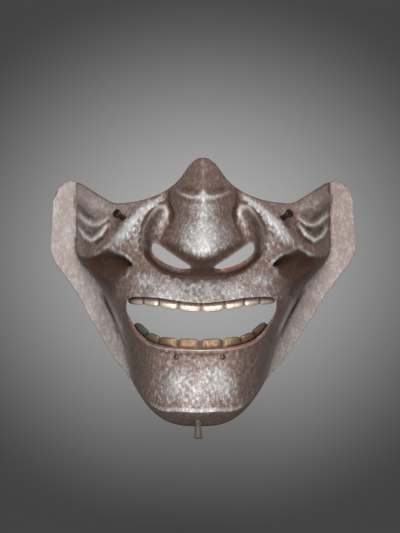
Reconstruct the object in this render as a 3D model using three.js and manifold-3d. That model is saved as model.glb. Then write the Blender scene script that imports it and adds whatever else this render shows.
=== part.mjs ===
// A samurai face guard: a half mask of russet iron with a nose, an open toothed mouth and turned-out side flanges.
// It lies on its back on the flanges, nose up. Millimetres, +Z up, +Y towards the nose bridge, +X to the right.
// The face is laid out as it is seen from the front: across from its centre line, and up from its chin edge.
// Heights are measured from the flanges, which lean back from that view by the angle "lean".
import * as THREE from "three";
import { mergeVertices } from "three/addons/utils/BufferGeometryUtils.js";
import Module from "manifold-3d";

// Driving dimensions of the plate
const faceHalf = 77;
const faceHeight = 161;
const flangeWidth = 16;
const crown = 80;
const lean = THREE.MathUtils.degToRad(15);
const wall = 1.6;
const chinDrift = 3;

// Driving dimensions of the embossing
const noseRise = 31;
const nostrilRise = 12;
const chinDrop = 30;
const chinBoss = 3;
const cheekBoss = 3;
const hollowDepth = 12;
const malarRise = 3.5;
const earFoldRise = 4.5;
const lipRise = 2.5;
const creaseRise = 1.4;
const jawRidgeRise = 4;

// Driving dimensions of the openings
const mouthHalf = 45;
const mouthHeight = 32;
const mouthBase = 45.5;

// Driving dimensions of the teeth
const stripThickness = 0.9;
const stripSeat = 0.55;
const upperShow = 5.2;
const lowerShow = 7.2;
const upperLap = 7;
const lowerLap = 6.5;
const toothBulge = 1.1;
const toothNotch = 1.3;
const upperEndFall = 0.18;
const lowerEndFall = 0.45;

// Driving dimensions of the posts, the peg and the rivets
const postLength = 7.5;
const postRadius = 1.6;
const postHead = 2.7;
const pegLength = 10.5;
const pegRadius = 2.1;
const pegHead = 2.8;
const rivetRadius = 0.8;
const rivetHead = 1.5;
const headThickness = 1.2;
const rivetDome = 0.7;
const rivetSeat = 0.5;
const rivetDrop = 4;
const clearance = 0.3;

// Mesh steps: the outer face is twice as fine as the inner one
const acrossSteps = 38;
const upperSteps = 14;
const lowerSteps = 26;
const bandSteps = 4;
const flangeSteps = 2;
const toothSteps = 4;
const roundSides = 12;
const plateRows = upperSteps + lowerSteps + bandSteps;
const finestHalf = 2.4;

const { clamp, lerp, smoothstep } = THREE.MathUtils;

// A table of named columns, one row for each section or fold
function table(columns, rows) {
  const names = columns.split(" ");
  return rows.map((row) => Object.fromEntries(names.map((name, i) => [name, row[i]])));
}

// The outline and cross-sections by height. Foot is a share of faceHalf, flange of flangeWidth, crown of crown.
// Square and bend shape the section: how flat its top is and how steeply it meets the flange.
const levels = table("up foot flange crown square bend", [
  [0.0, 0.536, 0.06, 1.04, 2.6, 0.5],
  [0.18, 0.538, 0.06, 1.0, 3.0, 0.5],
  [0.25, 0.572, 0.45, 0.97, 3.3, 0.5],
  [0.3, 0.6, 0.64, 0.965, 3.5, 0.5],
  [0.36, 0.644, 0.79, 0.98, 3.6, 0.5],
  [0.41, 0.69, 0.9, 0.99, 3.5, 0.5],
  [0.46, 0.742, 0.91, 1.0, 3.3, 0.5],
  [0.52, 0.8, 1.03, 0.98, 2.6, 0.5],
  [0.57, 0.88, 1.02, 0.95, 2.0, 0.5],
  [0.61, 0.955, 0.96, 0.93, 1.7, 0.52],
  [0.66, 1.0, 0.92, 0.91, 1.5, 0.56],
  [0.73, 1.0, 0.9, 0.89, 1.4, 0.63],
  [0.84, 1.0, 0.86, 0.84, 1.35, 0.66],
  [0.92, 1.0, 0.86, 0.79, 1.35, 0.66],
  [1.0, 1.0, 0.86, 0.74, 1.35, 0.66],
]);

// The upper edge by share of the foot line, from the nose top out to the flange's outer corner
const upperEdge = table("out up", [
  [0.0, 1.0],
  [0.045, 0.996],
  [0.1, 0.975],
  [0.135, 0.953],
  [0.175, 0.926],
  [0.22, 0.903],
  [0.28, 0.882],
  [0.36, 0.861],
  [0.48, 0.842],
  [0.6, 0.833],
  [0.7, 0.833],
  [0.82, 0.862],
  [0.93, 0.895],
  [1.0, 0.911],
  [1.25, 0.917],
  [1.6, 0.902],
  [2.0, 0.85],
]);

// The nose by height: half width as a share of faceHalf, rise as a share of noseRise, and how round it is
const nose = table("up half rise round", [
  [0.54, 0.2, 0.0, 2.0],
  [0.56, 0.24, 0.05, 2.0],
  [0.58, 0.29, 0.3, 2.0],
  [0.6, 0.33, 0.62, 2.3],
  [0.63, 0.35, 0.9, 2.5],
  [0.66, 0.35, 0.99, 2.5],
  [0.7, 0.33, 0.97, 2.4],
  [0.74, 0.3, 0.88, 2.3],
  [0.78, 0.265, 0.79, 2.2],
  [0.82, 0.265, 0.72, 2.0],
  [0.85, 0.265, 0.68, 1.6],
  [0.88, 0.27, 0.66, 1.4],
  [0.93, 0.27, 0.62, 1.3],
  [1.0, 0.26, 0.56, 1.3],
]);

// The wing of the nose over each nostril, along its crest
const nostrilWing = table("across up half rise", [
  [0.3, 0.79, 0.075, 0.8],
  [0.335, 0.755, 0.11, 1.0],
  [0.355, 0.71, 0.122, 1.0],
  [0.345, 0.673, 0.13, 1.0],
  [0.27, 0.635, 0.12, 0.9],
  [0.17, 0.605, 0.09, 0.7],
]);

// The hollow under the cheekbone: its upper edge and how far down it reaches, by share across
const cheekHollow = table("across edge reach", [
  [0.55, 0.606, 0.01],
  [0.585, 0.624, 0.05],
  [0.63, 0.641, 0.09],
  [0.69, 0.653, 0.13],
  [0.76, 0.663, 0.16],
  [0.84, 0.642, 0.11],
  [0.93, 0.636, 0.08],
  [1.02, 0.655, 0.06],
]);

// Narrow folds and ridges, each along its own crest. Half is a share of faceHalf, rise of the fold's named rise.
const malarRidge = table("across up half rise", [
  [0.35, 0.856, 0.05, 0.4],
  [0.5, 0.806, 0.06, 1.0],
  [0.61, 0.754, 0.06, 1.0],
  [0.7, 0.7, 0.05, 0.9],
  [0.77, 0.665, 0.03, 0.6],
]);
const upperEarFold = table("across up half rise", [
  [0.99, 0.789, 0.03, 0.8],
  [0.92, 0.76, 0.034, 1.0],
  [0.87, 0.748, 0.034, 1.0],
  [0.82, 0.752, 0.03, 0.9],
  [0.755, 0.775, 0.022, 0.4],
]);
const lowerEarFold = table("across up half rise", [
  [0.985, 0.741, 0.03, 0.8],
  [0.93, 0.705, 0.034, 1.0],
  [0.88, 0.692, 0.034, 1.0],
  [0.815, 0.712, 0.028, 0.9],
  [0.755, 0.75, 0.02, 0.4],
]);
const earTopFold = table("across up half rise", [
  [0.98, 0.85, 0.06, 0.6],
  [0.88, 0.82, 0.06, 0.9],
  [0.78, 0.815, 0.05, 0.6],
]);
const jawRidge = table("across up half rise", [
  [0.72, 0.461, 0.02, 0.5],
  [0.675, 0.41, 0.02, 1.0],
  [0.625, 0.362, 0.018, 1.0],
  [0.6, 0.33, 0.012, 0.2],
]);
const bridgeCrease = table("across up half rise", [
  [0.21, 0.872, 0.02, 0.4],
  [0.15, 0.859, 0.022, 0.8],
  [0.09, 0.851, 0.024, 1.0],
  [0.0, 0.852, 0.028, 1.0],
]);

// The mouth's outline on one side, from the middle of the upper lip round the corner to the middle of the lower lip
const mouth = table("across up", [
  [0.0, 0.885],
  [0.29, 0.92],
  [0.565, 0.98],
  [0.77, 1.0],
  [0.91, 0.995],
  [0.985, 0.94],
  [1.0, 0.82],
  [0.985, 0.66],
  [0.93, 0.47],
  [0.83, 0.28],
  [0.7, 0.135],
  [0.53, 0.055],
  [0.29, 0.015],
  [0.0, 0.0],
]);
const mouthCorner = 6;
const upperLipHalf = 0.07;
const lowerLipHalf = 0.035;
const lowerLipShare = 0.8;

// One nostril's outline, from its outer end along the upper edge and back along the lower one
const nostril = table("across up", [
  [0.402, 0.655],
  [0.385, 0.681],
  [0.335, 0.672],
  [0.27, 0.651],
  [0.186, 0.623],
  [0.095, 0.596],
  [0.105, 0.581],
  [0.184, 0.577],
  [0.268, 0.589],
  [0.335, 0.606],
  [0.385, 0.63],
]);

// Where the posts, the peg and the rivets stand, as shares across and up the face
const postPlace = { across: 0.62, up: 0.775 };
const pegPlace = { across: 0, up: 0.02 };
const rivetPlace = { across: 0.18, up: (mouthBase - rivetDrop) / faceHeight };

// Soft bosses of the chin and the cheeks, with their reach either way
const chinPlace = { across: 0, up: 0.15, wide: 0.3, tall: 0.09 };
const cheekPlace = { across: 0.6, up: 0.69, wide: 0.1, tall: 0.06 };

// The lower edge: an even curve that climbs from the chin to the ends of the flanges, under a ledge that runs into it
const chinClimb = 0.18;
const chinCurve = 2.85;
const bandShare = 0.054;
const bandFade = 0.75;
const bandFrom = 0.2;
const bandTo = 0.8;
const edgeSquare = 3;

// Heights where the rows change pace and where the chin's drift ends
const waist = 0.66;
const driftEnd = 0.73;

// How the cheek hollow deepens and runs out, and how near the plate's borders the forms fade
const hollowFull = 0.3;
const hollowEnd = 1.1;
const hollowFade = 0.25;
const malarFade = 0.1;
const foldFade = 0.03;
const topFade = 0.06;

// A table's column at a key, on a smooth curve through its rows
function along(rows, key, column, at) {
  const last = rows.length - 1;
  let i = 0;
  while (i < last - 1 && at > rows[i + 1][key]) {
    i += 1;
  }
  const slope = (j) => {
    const before = rows[Math.max(j - 1, 0)];
    const after = rows[Math.min(j + 1, last)];
    return (after[column] - before[column]) / (after[key] - before[key]);
  };
  const span = rows[i + 1][key] - rows[i][key];
  const t = clamp((at - rows[i][key]) / span, 0, 1);
  const a = rows[i][column];
  const b = rows[i + 1][column];
  const turn = t * (1 - t) * ((1 - t) * (span * slope(i) - (b - a)) - t * (span * slope(i + 1) - (b - a)));
  return lerp(a, b, t) + turn;
}

// A fold's rise at a point: highest on its crest line, falling off over its half width. Dome ends steeply, else softly.
function fold(rows, across, up, dome) {
  let best = 0;
  for (let i = 0; i + 1 < rows.length; i += 1) {
    const [a, b] = [rows[i], rows[i + 1]];
    const run = [(b.across - a.across) * faceHalf, (b.up - a.up) * faceHeight];
    const off = [(across - a.across) * faceHalf, (up - a.up) * faceHeight];
    const t = clamp((off[0] * run[0] + off[1] * run[1]) / (run[0] ** 2 + run[1] ** 2), 0, 1);
    const half = Math.max(lerp(a.half, b.half, t) * faceHalf, finestHalf);
    const away = Math.hypot(off[0] - t * run[0], off[1] - t * run[1]) / half;
    const fall = dome ? Math.max(1 - away ** 2, 0) : Math.exp(-(away ** 2));
    best = Math.max(best, lerp(a.rise, b.rise, t) * fall);
  }
  return best;
}

// A soft round boss
function boss(across, up, { across: x, up: y, wide, tall }) {
  return Math.exp(-(((across - x) / wide) ** 2) - ((up - y) / tall) ** 2);
}

const foot = (up) => along(levels, "up", "foot", up);
const topUp = (out) => along(upperEdge, "out", "up", out);
const bottomUp = (out) => chinClimb * Math.min(out, 1) ** chinCurve;
const ledgeUp = (out) => bottomUp(out) + bandShare * (1 - bandFade * smoothstep(out, bandFrom, bandTo));
const drift = (up) => -chinDrift * (1 - smoothstep(up, 0, driftEnd));

// The lips: the mouth's own outline as a fold, broad above and narrow below
const lipFold = mouth.map((row, i) => ({
  across: (row.across * mouthHalf) / faceHalf,
  up: (mouthBase + row.up * mouthHeight) / faceHeight,
  half: i < mouthCorner ? upperLipHalf : lowerLipHalf,
  rise: i < mouthCorner ? 1 : lowerLipShare,
}));

// The arch from foot line to foot line, and the nose with its wings
function archRise(out, up) {
  const arch = (1 - out ** along(levels, "up", "square", up)) ** along(levels, "up", "bend", up);
  return crown * along(levels, "up", "crown", up) * arch;
}
function noseHeight(across, up) {
  const side = Math.min(across / along(nose, "up", "half", up), 1);
  const shape = 1 - side ** along(nose, "up", "round", up);
  const body = noseRise * along(nose, "up", "rise", up) * shape;
  return Math.hypot(body, nostrilRise * fold(nostrilWing, across, up, true));
}

// The cheek hollow's share of its depth: nothing above its edge, deepest a little below it
function hollowShare(across, out, up) {
  if (across <= cheekHollow[0].across) {
    return 0;
  }
  const reach = along(cheekHollow, "across", "reach", across);
  const under = (along(cheekHollow, "across", "edge", across) - up) / reach;
  const depth = smoothstep(under, 0, hollowFull) * (1 - smoothstep(under, hollowFull, hollowEnd));
  return depth * smoothstep(1 - out, 0, hollowFade);
}

// The narrow folds, ridges and lips
function foldRise(across, out, up) {
  const inside = smoothstep(1 - out, 0, foldFade);
  const earFolds = fold(upperEarFold, across, up, false) + fold(lowerEarFold, across, up, false);
  let rise = malarRise * fold(malarRidge, across, up, false) * smoothstep(1 - out, 0, malarFade);
  rise += earFoldRise * earFolds * inside;
  rise += earFoldRise * fold(earTopFold, across, up, false) * smoothstep(topUp(out) - up, 0, topFade);
  rise += jawRidgeRise * fold(jawRidge, across, up, false) * inside;
  rise += lipRise * fold(lipFold, across, up, false);
  rise += creaseRise * fold(bridgeCrease, across, up, false);
  return rise;
}

// Height of the face over the flanges at a place. The plate's inside leaves out the narrow folds.
function faceRise(side, up, fine) {
  const across = Math.abs(side);
  const out = Math.min(across / foot(up), 1);
  const band = clamp((ledgeUp(out) - up) / (ledgeUp(out) - bottomUp(out)), 0, 1);
  const edge = (crown - chinDrop) * Math.sqrt(1 - out ** edgeSquare);
  let rise = archRise(out, up) + noseHeight(across, up);
  rise -= hollowDepth * hollowShare(across, out, up);
  rise += chinBoss * boss(across, up, chinPlace) + cheekBoss * boss(across, up, cheekPlace);
  rise = lerp(rise, Math.min(edge, rise), band);
  return fine ? rise + foldRise(across, out, up) : rise;
}

// A place on the face in the part's own frame, from its share across and up and its height over the flanges
function place(side, up, height) {
  const y = (up * faceHeight - height * Math.sin(lean)) / Math.cos(lean);
  return new THREE.Vector3(side * faceHalf + drift(up), y, height);
}

// The share up of a row at a share out. Rows count down in stretches: to the waist, to the chin's ledge, to the edge.
function rowUp(out, row) {
  const stops = [topUp(out), waist, ledgeUp(out), bottomUp(out)];
  const lengths = [upperSteps, lowerSteps, bandSteps];
  let left = row;
  let k = 0;
  while (k < 2 && left > lengths[k]) {
    left -= lengths[k];
    k += 1;
  }
  return lerp(stops[k], stops[k + 1], left / lengths[k]);
}

// The plate's outer surface by share out (past 1 on the flange) and row
function surface(out, row, fine) {
  const size = Math.abs(out);
  const side = Math.sign(out);
  const up = rowUp(size, row);
  if (size > 1) {
    const reach = foot(up) + (size - 1) * along(levels, "up", "flange", up) * (flangeWidth / faceHalf);
    return place(side * reach, up, wall);
  }
  return place(out * foot(up), up, wall + faceRise(out * foot(up), up, fine));
}

// Outward direction of a surface, from its slope either way. The second step is turned where that share runs down.
function outward(shape, a, b, stepA, stepB) {
  const alongA = shape(a + stepA, b).sub(shape(a - stepA, b));
  const alongB = shape(a, b + stepB).sub(shape(a, b - stepB));
  return alongA.cross(alongB).normalize();
}
const slopeStep = 0.004;
const rowStep = 0.2;

// The plate's inner surface: one wall inside the broad shape, and flat under the flanges
function innerSurface(out, row) {
  const size = Math.abs(out);
  const point = surface(out, row, false);
  if (size > 1) {
    return point.setZ(0);
  }
  if (size === 1) {
    return point.setX(point.x - Math.sign(out) * wall).setZ(0);
  }
  const near = clamp(row, rowStep, plateRows - rowStep);
  const shape = (a, b) => surface(clamp(a, -1, 1), b, false);
  return point.addScaledVector(outward(shape, out, near, slopeStep, -rowStep), -wall);
}

// A place on the broad face at a share across and up, with its outward direction
function broadFrame(side, up) {
  const shape = (a, b) => place(a, b, wall + faceRise(a, b, false));
  return { point: shape(side, up), direction: outward(shape, side, up, slopeStep, slopeStep) };
}

// A closed geometry from vertices and triangles
function closed(points, triangles) {
  const geometry = new THREE.BufferGeometry();
  geometry.setAttribute("position", new THREE.Float32BufferAttribute(points.flatMap((p) => [...p]), 3));
  geometry.setIndex(triangles.flat());
  return geometry;
}

// Triangles over a grid of vertices, mirrored about its middle column. Turned ones face the other way.
function sheet(index, columns, rows, turned) {
  const triangles = [];
  for (let i = 0; i < columns; i += 1) {
    for (let j = 0; j < rows; j += 1) {
      const [a, b, c, d] = [index(i, j), index(i, j + 1), index(i + 1, j + 1), index(i + 1, j)];
      const pair = i < columns / 2 ? [[a, b, c], [a, c, d]] : [[b, c, d], [b, d, a]];
      triangles.push(...(turned ? pair.map(([p, q, r]) => [p, r, q]) : pair));
    }
  }
  return triangles;
}

// The grid places round a grid's border, counter-clockwise seen from outside
function border(columns, rows) {
  const down = Array.from({ length: rows }, (_, j) => [0, j]);
  const right = Array.from({ length: columns }, (_, i) => [i, rows]);
  const up = Array.from({ length: rows }, (_, j) => [columns, rows - j]);
  const left = Array.from({ length: columns }, (_, i) => [columns - i, 0]);
  return [...down, ...right, ...up, ...left];
}

// A shell: a fine outer grid, an inner grid of every second place, and a rim that joins them
function shell(outer, inner, columns, rows) {
  const points = [];
  for (let i = 0; i <= columns; i += 1) {
    for (let j = 0; j <= rows; j += 1) {
      points.push(outer(i, j));
    }
  }
  const innerStart = points.length;
  for (let i = 0; i <= columns; i += 2) {
    for (let j = 0; j <= rows; j += 2) {
      points.push(inner(i, j));
    }
  }
  const outerIndex = (i, j) => i * (rows + 1) + j;
  const innerIndex = (i, j) => innerStart + i * (rows / 2 + 1) + j;
  const triangles = sheet(outerIndex, columns, rows, false);
  triangles.push(...sheet(innerIndex, columns / 2, rows / 2, true));
  const loop = border(columns, rows);
  for (let k = 0; k < loop.length; k += 2) {
    const [p, q, r] = [loop[k], loop[k + 1], loop[(k + 2) % loop.length]];
    const [o0, o1, o2] = [outerIndex(...p), outerIndex(...q), outerIndex(...r)];
    const [i0, i1] = [innerIndex(p[0] / 2, p[1] / 2), innerIndex(r[0] / 2, r[1] / 2)];
    triangles.push([o0, i0, o1], [o1, i0, i1], [o1, i1, o2]);
  }
  return closed(points, triangles);
}

// Cuts, made on closed solids
const wasm = await Module();
wasm.setup();
function solid(geometry) {
  const bare = geometry.clone();
  bare.deleteAttribute("normal");
  bare.deleteAttribute("uv");
  const merged = mergeVertices(bare, 1e-5);
  const vertProperties = new Float32Array(merged.attributes.position.array);
  const triVerts = new Uint32Array(merged.index.array);
  return new wasm.Manifold(new wasm.Mesh({ numProp: 3, vertProperties, triVerts }));
}
function cut(geometry, tools) {
  const left = tools.reduce((body, tool) => body.subtract(solid(tool)), solid(geometry)).getMesh();
  const result = new THREE.BufferGeometry();
  result.setAttribute("position", new THREE.BufferAttribute(new Float32Array(left.vertProperties), 3));
  result.setIndex(new THREE.BufferAttribute(new Uint32Array(left.triVerts), 1));
  return result;
}

// A smooth closed outline through a table's places
function outlineOf(places) {
  const points = places.map((spot) => new THREE.Vector3(spot.across, spot.up, 0));
  const curve = new THREE.CatmullRomCurve3(points, true, "catmullrom");
  return curve.getPoints(places.length * 2).slice(0, -1).map((p) => new THREE.Vector2(p.x, p.y));
}

// A cutter through the face, seen from the front as its outline, from low to high over the flanges
function faceCutter(places, low, high) {
  const block = new THREE.ExtrudeGeometry(new THREE.Shape(outlineOf(places)), { depth: 1, bevelEnabled: false });
  const spots = block.attributes.position;
  for (let i = 0; i < spots.count; i += 1) {
    spots.setXYZ(i, ...place(spots.getX(i), spots.getY(i), lerp(low, high, spots.getZ(i))));
  }
  return block;
}
const cutterLow = 0.3 * crown;
const cutterHigh = crown + 2 * noseRise;
const mirrored = (rows) => rows.map((row) => ({ ...row, across: -row.across }));
const lipRing = [...lipFold, ...mirrored(lipFold.slice(1, -1)).reverse()];

// A headed pin through the face: where it stands, which way, and how deep the plate is there
function pinFrame(spot, sign, layers) {
  const { point, direction } = broadFrame(sign * spot.across, spot.up);
  const outside = place(sign * spot.across, spot.up, wall + faceRise(sign * spot.across, spot.up, true));
  const depth = outside.clone().sub(point).dot(direction) + wall + layers;
  const turn = new THREE.Quaternion().setFromUnitVectors(new THREE.Vector3(0, 1, 0), direction);
  return { outside, depth, turn };
}

// The hole for a pin, from behind the plate to in front of it
function pinHole(frame, radius) {
  const hole = new THREE.CylinderGeometry(radius + clearance, radius + clearance, 4 * frame.depth, roundSides);
  return hole.applyQuaternion(frame.turn).translate(...frame.outside);
}

// A pin turned about its own axis: a tail inside the plate, a shank, and the outer profile given from the shank up
function pin(name, frame, radius, tail, profile, material) {
  const back = -frame.depth - clearance;
  const points = [[0, back - headThickness], [tail, back - headThickness], [tail, back], [radius, back], ...profile];
  const shape = new THREE.LatheGeometry(points.map(([r, y]) => new THREE.Vector2(r, y)), roundSides);
  const mesh = new THREE.Mesh(shape, material);
  mesh.name = name;
  mesh.quaternion.copy(frame.turn);
  mesh.position.copy(frame.outside);
  return mesh;
}

// The plate's columns across, from one flange's edge to the other, closer together near the steep sides
const crowding = 0.35;
function outShare(i) {
  const k = i - flangeSteps - acrossSteps;
  const size = Math.abs(k);
  if (size > acrossSteps) {
    return Math.sign(k) * (1 + (size - acrossSteps) / flangeSteps);
  }
  const t = size / acrossSteps;
  return Math.sign(k) * lerp(t, 1 - (1 - t) ** 2, crowding);
}

// The embossed plate, with the mouth, the nostrils and the pin holes cut through
function facePlate(holes, material) {
  const columns = 2 * (acrossSteps + flangeSteps);
  const outer = (i, j) => surface(outShare(i), j, true);
  const inner = (i, j) => innerSurface(outShare(i), j);
  const openings = [lipRing, nostril, mirrored(nostril)].map((ring) => faceCutter(ring, cutterLow, cutterHigh));
  const mesh = new THREE.Mesh(cut(shell(outer, inner, columns, plateRows), [...openings, ...holes]), material);
  mesh.name = "face_plate";
  return mesh;
}

// The edges between teeth as shares out along the lip, and the rows of a strip from behind the plate to its free edge
const toothEdges = [0, 0.3, 0.57, 0.79, 1];
const stripRows = table("lap free swell", [
  [1, 0, 0],
  [0.5, 0, 0],
  [0, 0.15, 0.4],
  [0, 0.6, 1],
  [0, 1, 0.5],
]);
const toothRound = 4;
const endCurve = 3;

// A strip of teeth along a lip. It laps behind the plate and shows past the lip, with a bulge and a notch to each tooth.
function teethStrip(name, { lip, turn, lap, show, endFall }, holes, material) {
  const row = (r) => new THREE.Vector2(r.across * faceHalf, r.up * faceHeight);
  const path = new THREE.SplineCurve([...mirrored(lip).reverse(), ...lip.slice(1)].map(row));
  const teeth = toothEdges.length - 1;
  const columns = 2 * teeth * toothSteps;
  const rows = stripRows.length - 1;
  const spot = (i, j) => {
    const k = i - columns / 2;
    const tooth = Math.min(Math.floor(Math.abs(k) / toothSteps), teeth - 1);
    const within = Math.abs(k) / toothSteps - tooth;
    const reach = Math.sign(k) * lerp(toothEdges[tooth], toothEdges[tooth + 1], within);
    const at = path.getPointAt((1 + reach) / 2);
    const run = path.getTangentAt((1 + reach) / 2);
    const round = 1 - (2 * within - 1) ** toothRound;
    const free = show * (1 - endFall * Math.abs(reach) ** endCurve) - toothNotch * (1 - round);
    const offset = turn * (stripRows[j].free * free - stripRows[j].lap * lap);
    const frame = broadFrame((at.x - run.y * offset) / faceHalf, (at.y + run.x * offset) / faceHeight);
    return { ...frame, swell: toothBulge * round * stripRows[j].swell };
  };
  const seat = wall + stripSeat;
  const outer = (i, j) => {
    const { point, direction, swell } = spot(i, turn > 0 ? rows - j : j);
    return point.addScaledVector(direction, swell - seat);
  };
  const inner = (i, j) => {
    const { point, direction } = spot(i, turn > 0 ? rows - j : j);
    return point.addScaledVector(direction, -seat - stripThickness);
  };
  const mesh = new THREE.Mesh(cut(shell(outer, inner, columns, rows), holes), material);
  mesh.name = name;
  return mesh;
}

// Finishes
const iron = new THREE.MeshStandardMaterial({ color: 0x6e5a52, roughness: 0.5, metalness: 0.8 });
const darkIron = new THREE.MeshStandardMaterial({ color: 0x4a3d36, roughness: 0.55, metalness: 0.8 });
const gilt = new THREE.MeshStandardMaterial({ color: 0xd8b892, roughness: 0.35, metalness: 0.9 });
const copper = new THREE.MeshStandardMaterial({ color: 0xb07a4a, roughness: 0.4, metalness: 0.9 });

// The cord posts: a tapering shank with a flat head
const postProfile = [
  [postRadius, postLength - 2 * headThickness],
  [postHead, postLength - headThickness],
  [postHead, postLength],
  [0, postLength],
];
const postFrames = [-1, 1].map((sign) => pinFrame(postPlace, sign, 0));
const posts = ["cord_post_left", "cord_post_right"].map(
  (name, k) => pin(name, postFrames[k], postRadius, postHead, postProfile, darkIron));

// The chin peg: a stouter shank that flares to its end
const pegChamfer = 0.8;
const pegProfile = [
  [pegRadius, pegLength - 3 * headThickness],
  [pegHead, pegLength - headThickness / 2],
  [pegHead * pegChamfer, pegLength],
  [0, pegLength],
];
const pegFrame = pinFrame(pegPlace, 1, 0);
const peg = pin("chin_peg", pegFrame, pegRadius, pegHead, pegProfile, iron);

// The lip rivets: small domes that hold the lower strip
const domeShoulder = 0.75;
const rivetProfile = [
  [rivetRadius, rivetSeat],
  [rivetHead, rivetSeat],
  [rivetHead * domeShoulder, rivetSeat + rivetDome * domeShoulder],
  [0, rivetSeat + rivetDome],
];
const rivetFrames = [-1, 1].map((sign) => pinFrame(rivetPlace, sign, stripSeat + stripThickness));
const rivets = ["lip_rivet_left", "lip_rivet_right"].map(
  (name, k) => pin(name, rivetFrames[k], rivetRadius, rivetHead, rivetProfile, darkIron));

// The plate and its teeth, cut for the pins
const rivetHoles = rivetFrames.map((frame) => pinHole(frame, rivetRadius));
const postHoles = [...postFrames.map((frame) => pinHole(frame, postRadius)), pinHole(pegFrame, pegRadius)];
const plate = facePlate([...postHoles, ...rivetHoles], iron);
const upperPath = lipFold.slice(0, mouthCorner);
const lowerPath = lipFold.slice(mouthCorner + 2).reverse();
const upperLip = { lip: upperPath, turn: -1, lap: upperLap, show: upperShow, endFall: upperEndFall };
const lowerLip = { lip: lowerPath, turn: 1, lap: lowerLap, show: lowerShow, endFall: lowerEndFall };
const upperTeeth = teethStrip("upper_teeth", upperLip, [], gilt);
const lowerTeeth = teethStrip("lower_teeth", lowerLip, rivetHoles, copper);

// The whole guard, moved so that the middle of its resting place is the origin
const group = new THREE.Group();
group.add(plate, upperTeeth, lowerTeeth, ...posts, peg, ...rivets);
group.updateMatrixWorld(true);
const extent = new THREE.Box3().setFromObject(group);
const middle = extent.getCenter(new THREE.Vector3());
group.position.set(-middle.x, -middle.y, -extent.min.z);
export default group;
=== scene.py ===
"""Looks of the samurai face guard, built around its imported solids.

The plate is laid out as it is seen from the front: across from the centre line and up from the chin edge,
both as shares, with a height over the flanges. The sizes and tables are those of the solid plate, in
millimetres, on a finer grid and with its narrow folds, grooves and hammer marks.
"""
import math

import bmesh
import bpy
import numpy as np
from mathutils import Matrix, Vector


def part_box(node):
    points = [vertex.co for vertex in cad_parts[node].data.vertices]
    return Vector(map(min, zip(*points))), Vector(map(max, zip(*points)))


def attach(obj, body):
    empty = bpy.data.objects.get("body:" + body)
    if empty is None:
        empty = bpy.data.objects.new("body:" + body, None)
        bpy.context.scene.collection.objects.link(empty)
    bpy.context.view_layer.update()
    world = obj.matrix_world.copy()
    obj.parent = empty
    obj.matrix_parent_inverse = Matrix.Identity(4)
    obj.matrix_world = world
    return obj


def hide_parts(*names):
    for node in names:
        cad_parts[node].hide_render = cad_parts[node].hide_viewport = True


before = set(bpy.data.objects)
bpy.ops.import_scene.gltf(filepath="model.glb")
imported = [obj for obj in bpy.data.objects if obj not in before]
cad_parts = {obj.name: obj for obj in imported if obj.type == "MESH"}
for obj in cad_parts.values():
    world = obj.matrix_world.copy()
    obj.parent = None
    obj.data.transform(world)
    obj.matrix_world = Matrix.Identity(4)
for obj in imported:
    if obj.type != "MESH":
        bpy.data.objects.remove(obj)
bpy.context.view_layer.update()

MM = 0.001

# Sizes of the plate
FACE_HALF = 77
FACE_HEIGHT = 161
FLANGE_WIDTH = 16
CROWN = 80
LEAN = math.radians(15)
WALL = 1.6
CHIN_DRIFT = 3

# Sizes of the embossing
NOSE_RISE = 31
NOSTRIL_RISE = 12
CHIN_DROP = 30
CHIN_BOSS = 3
CHEEK_BOSS = 3
HOLLOW_DEPTH = 12
MALAR_RISE = 3.5
EAR_FOLD_RISE = 4.5
LIP_RISE = 2.5
CREASE_RISE = 1.4
GROOVE_DEPTH = 0.9
UNDER_LIP_DEPTH = 0.9
JAW_RIDGE_RISE = 4
HAMMER_DEPTH = 0.07

# Soft bosses of the chin and the cheek: place across and up, width and height
CHIN_PLACE = (0, 0.15, 0.3, 0.09)
CHEEK_PLACE = (0.6, 0.69, 0.1, 0.06)

# How the cheek hollow deepens and runs out, and how near the plate's borders the forms fade
HOLLOW_FULL = 0.3
HOLLOW_END = 1.1
HOLLOW_FADE = 0.16
MALAR_FADE = 0.9
FOLD_FADE = 0.03
TOP_FADE = 0.06

# Sizes of the openings
MOUTH_HALF = 45
MOUTH_HEIGHT = 32
MOUTH_BASE = 45.5
MOUTH_CORNER = 6

# Sizes of the teeth
STRIP_THICKNESS = 0.9
STRIP_SEAT = 0.55
UPPER_SHOW = 5.2
LOWER_SHOW = 7.2
UPPER_LAP = 7
LOWER_LAP = 6.5
TOOTH_BULGE = 1.1
TOOTH_NOTCH = 1.3
TOOTH_EDGES = np.array([0, 0.3, 0.57, 0.79, 1])
UPPER_FALL = 0.18
LOWER_FALL = 0.6

# Sizes of the posts, the peg and the rivets
POST_LENGTH = 7.5
POST_RADIUS = 1.6
POST_HEAD = 2.7
PEG_LENGTH = 10.5
PEG_RADIUS = 2.1
PEG_HEAD = 2.8
RIVET_RADIUS = 0.8
RIVET_HEAD = 1.5
HEAD_THICKNESS = 1.2
RIVET_DOME = 0.7
RIVET_SEAT = 0.5
RIVET_DROP = 4
CLEARANCE = 0.3

# Grid steps of the plate
ACROSS_STEPS = 140
FLANGE_STEPS = 8
UPPER_STEPS = 76
LOWER_STEPS = 136
BAND_STEPS = 16
CROWDING = 0.35
TOOTH_STEPS = 22
DEPTH_STEPS = 24
LINE_STEPS = 8


def table(columns, rows):
    """A table of named columns, each an array with one value a row. The first column is the key."""
    return dict(zip(columns.split(), np.array(rows, float).T))


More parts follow.
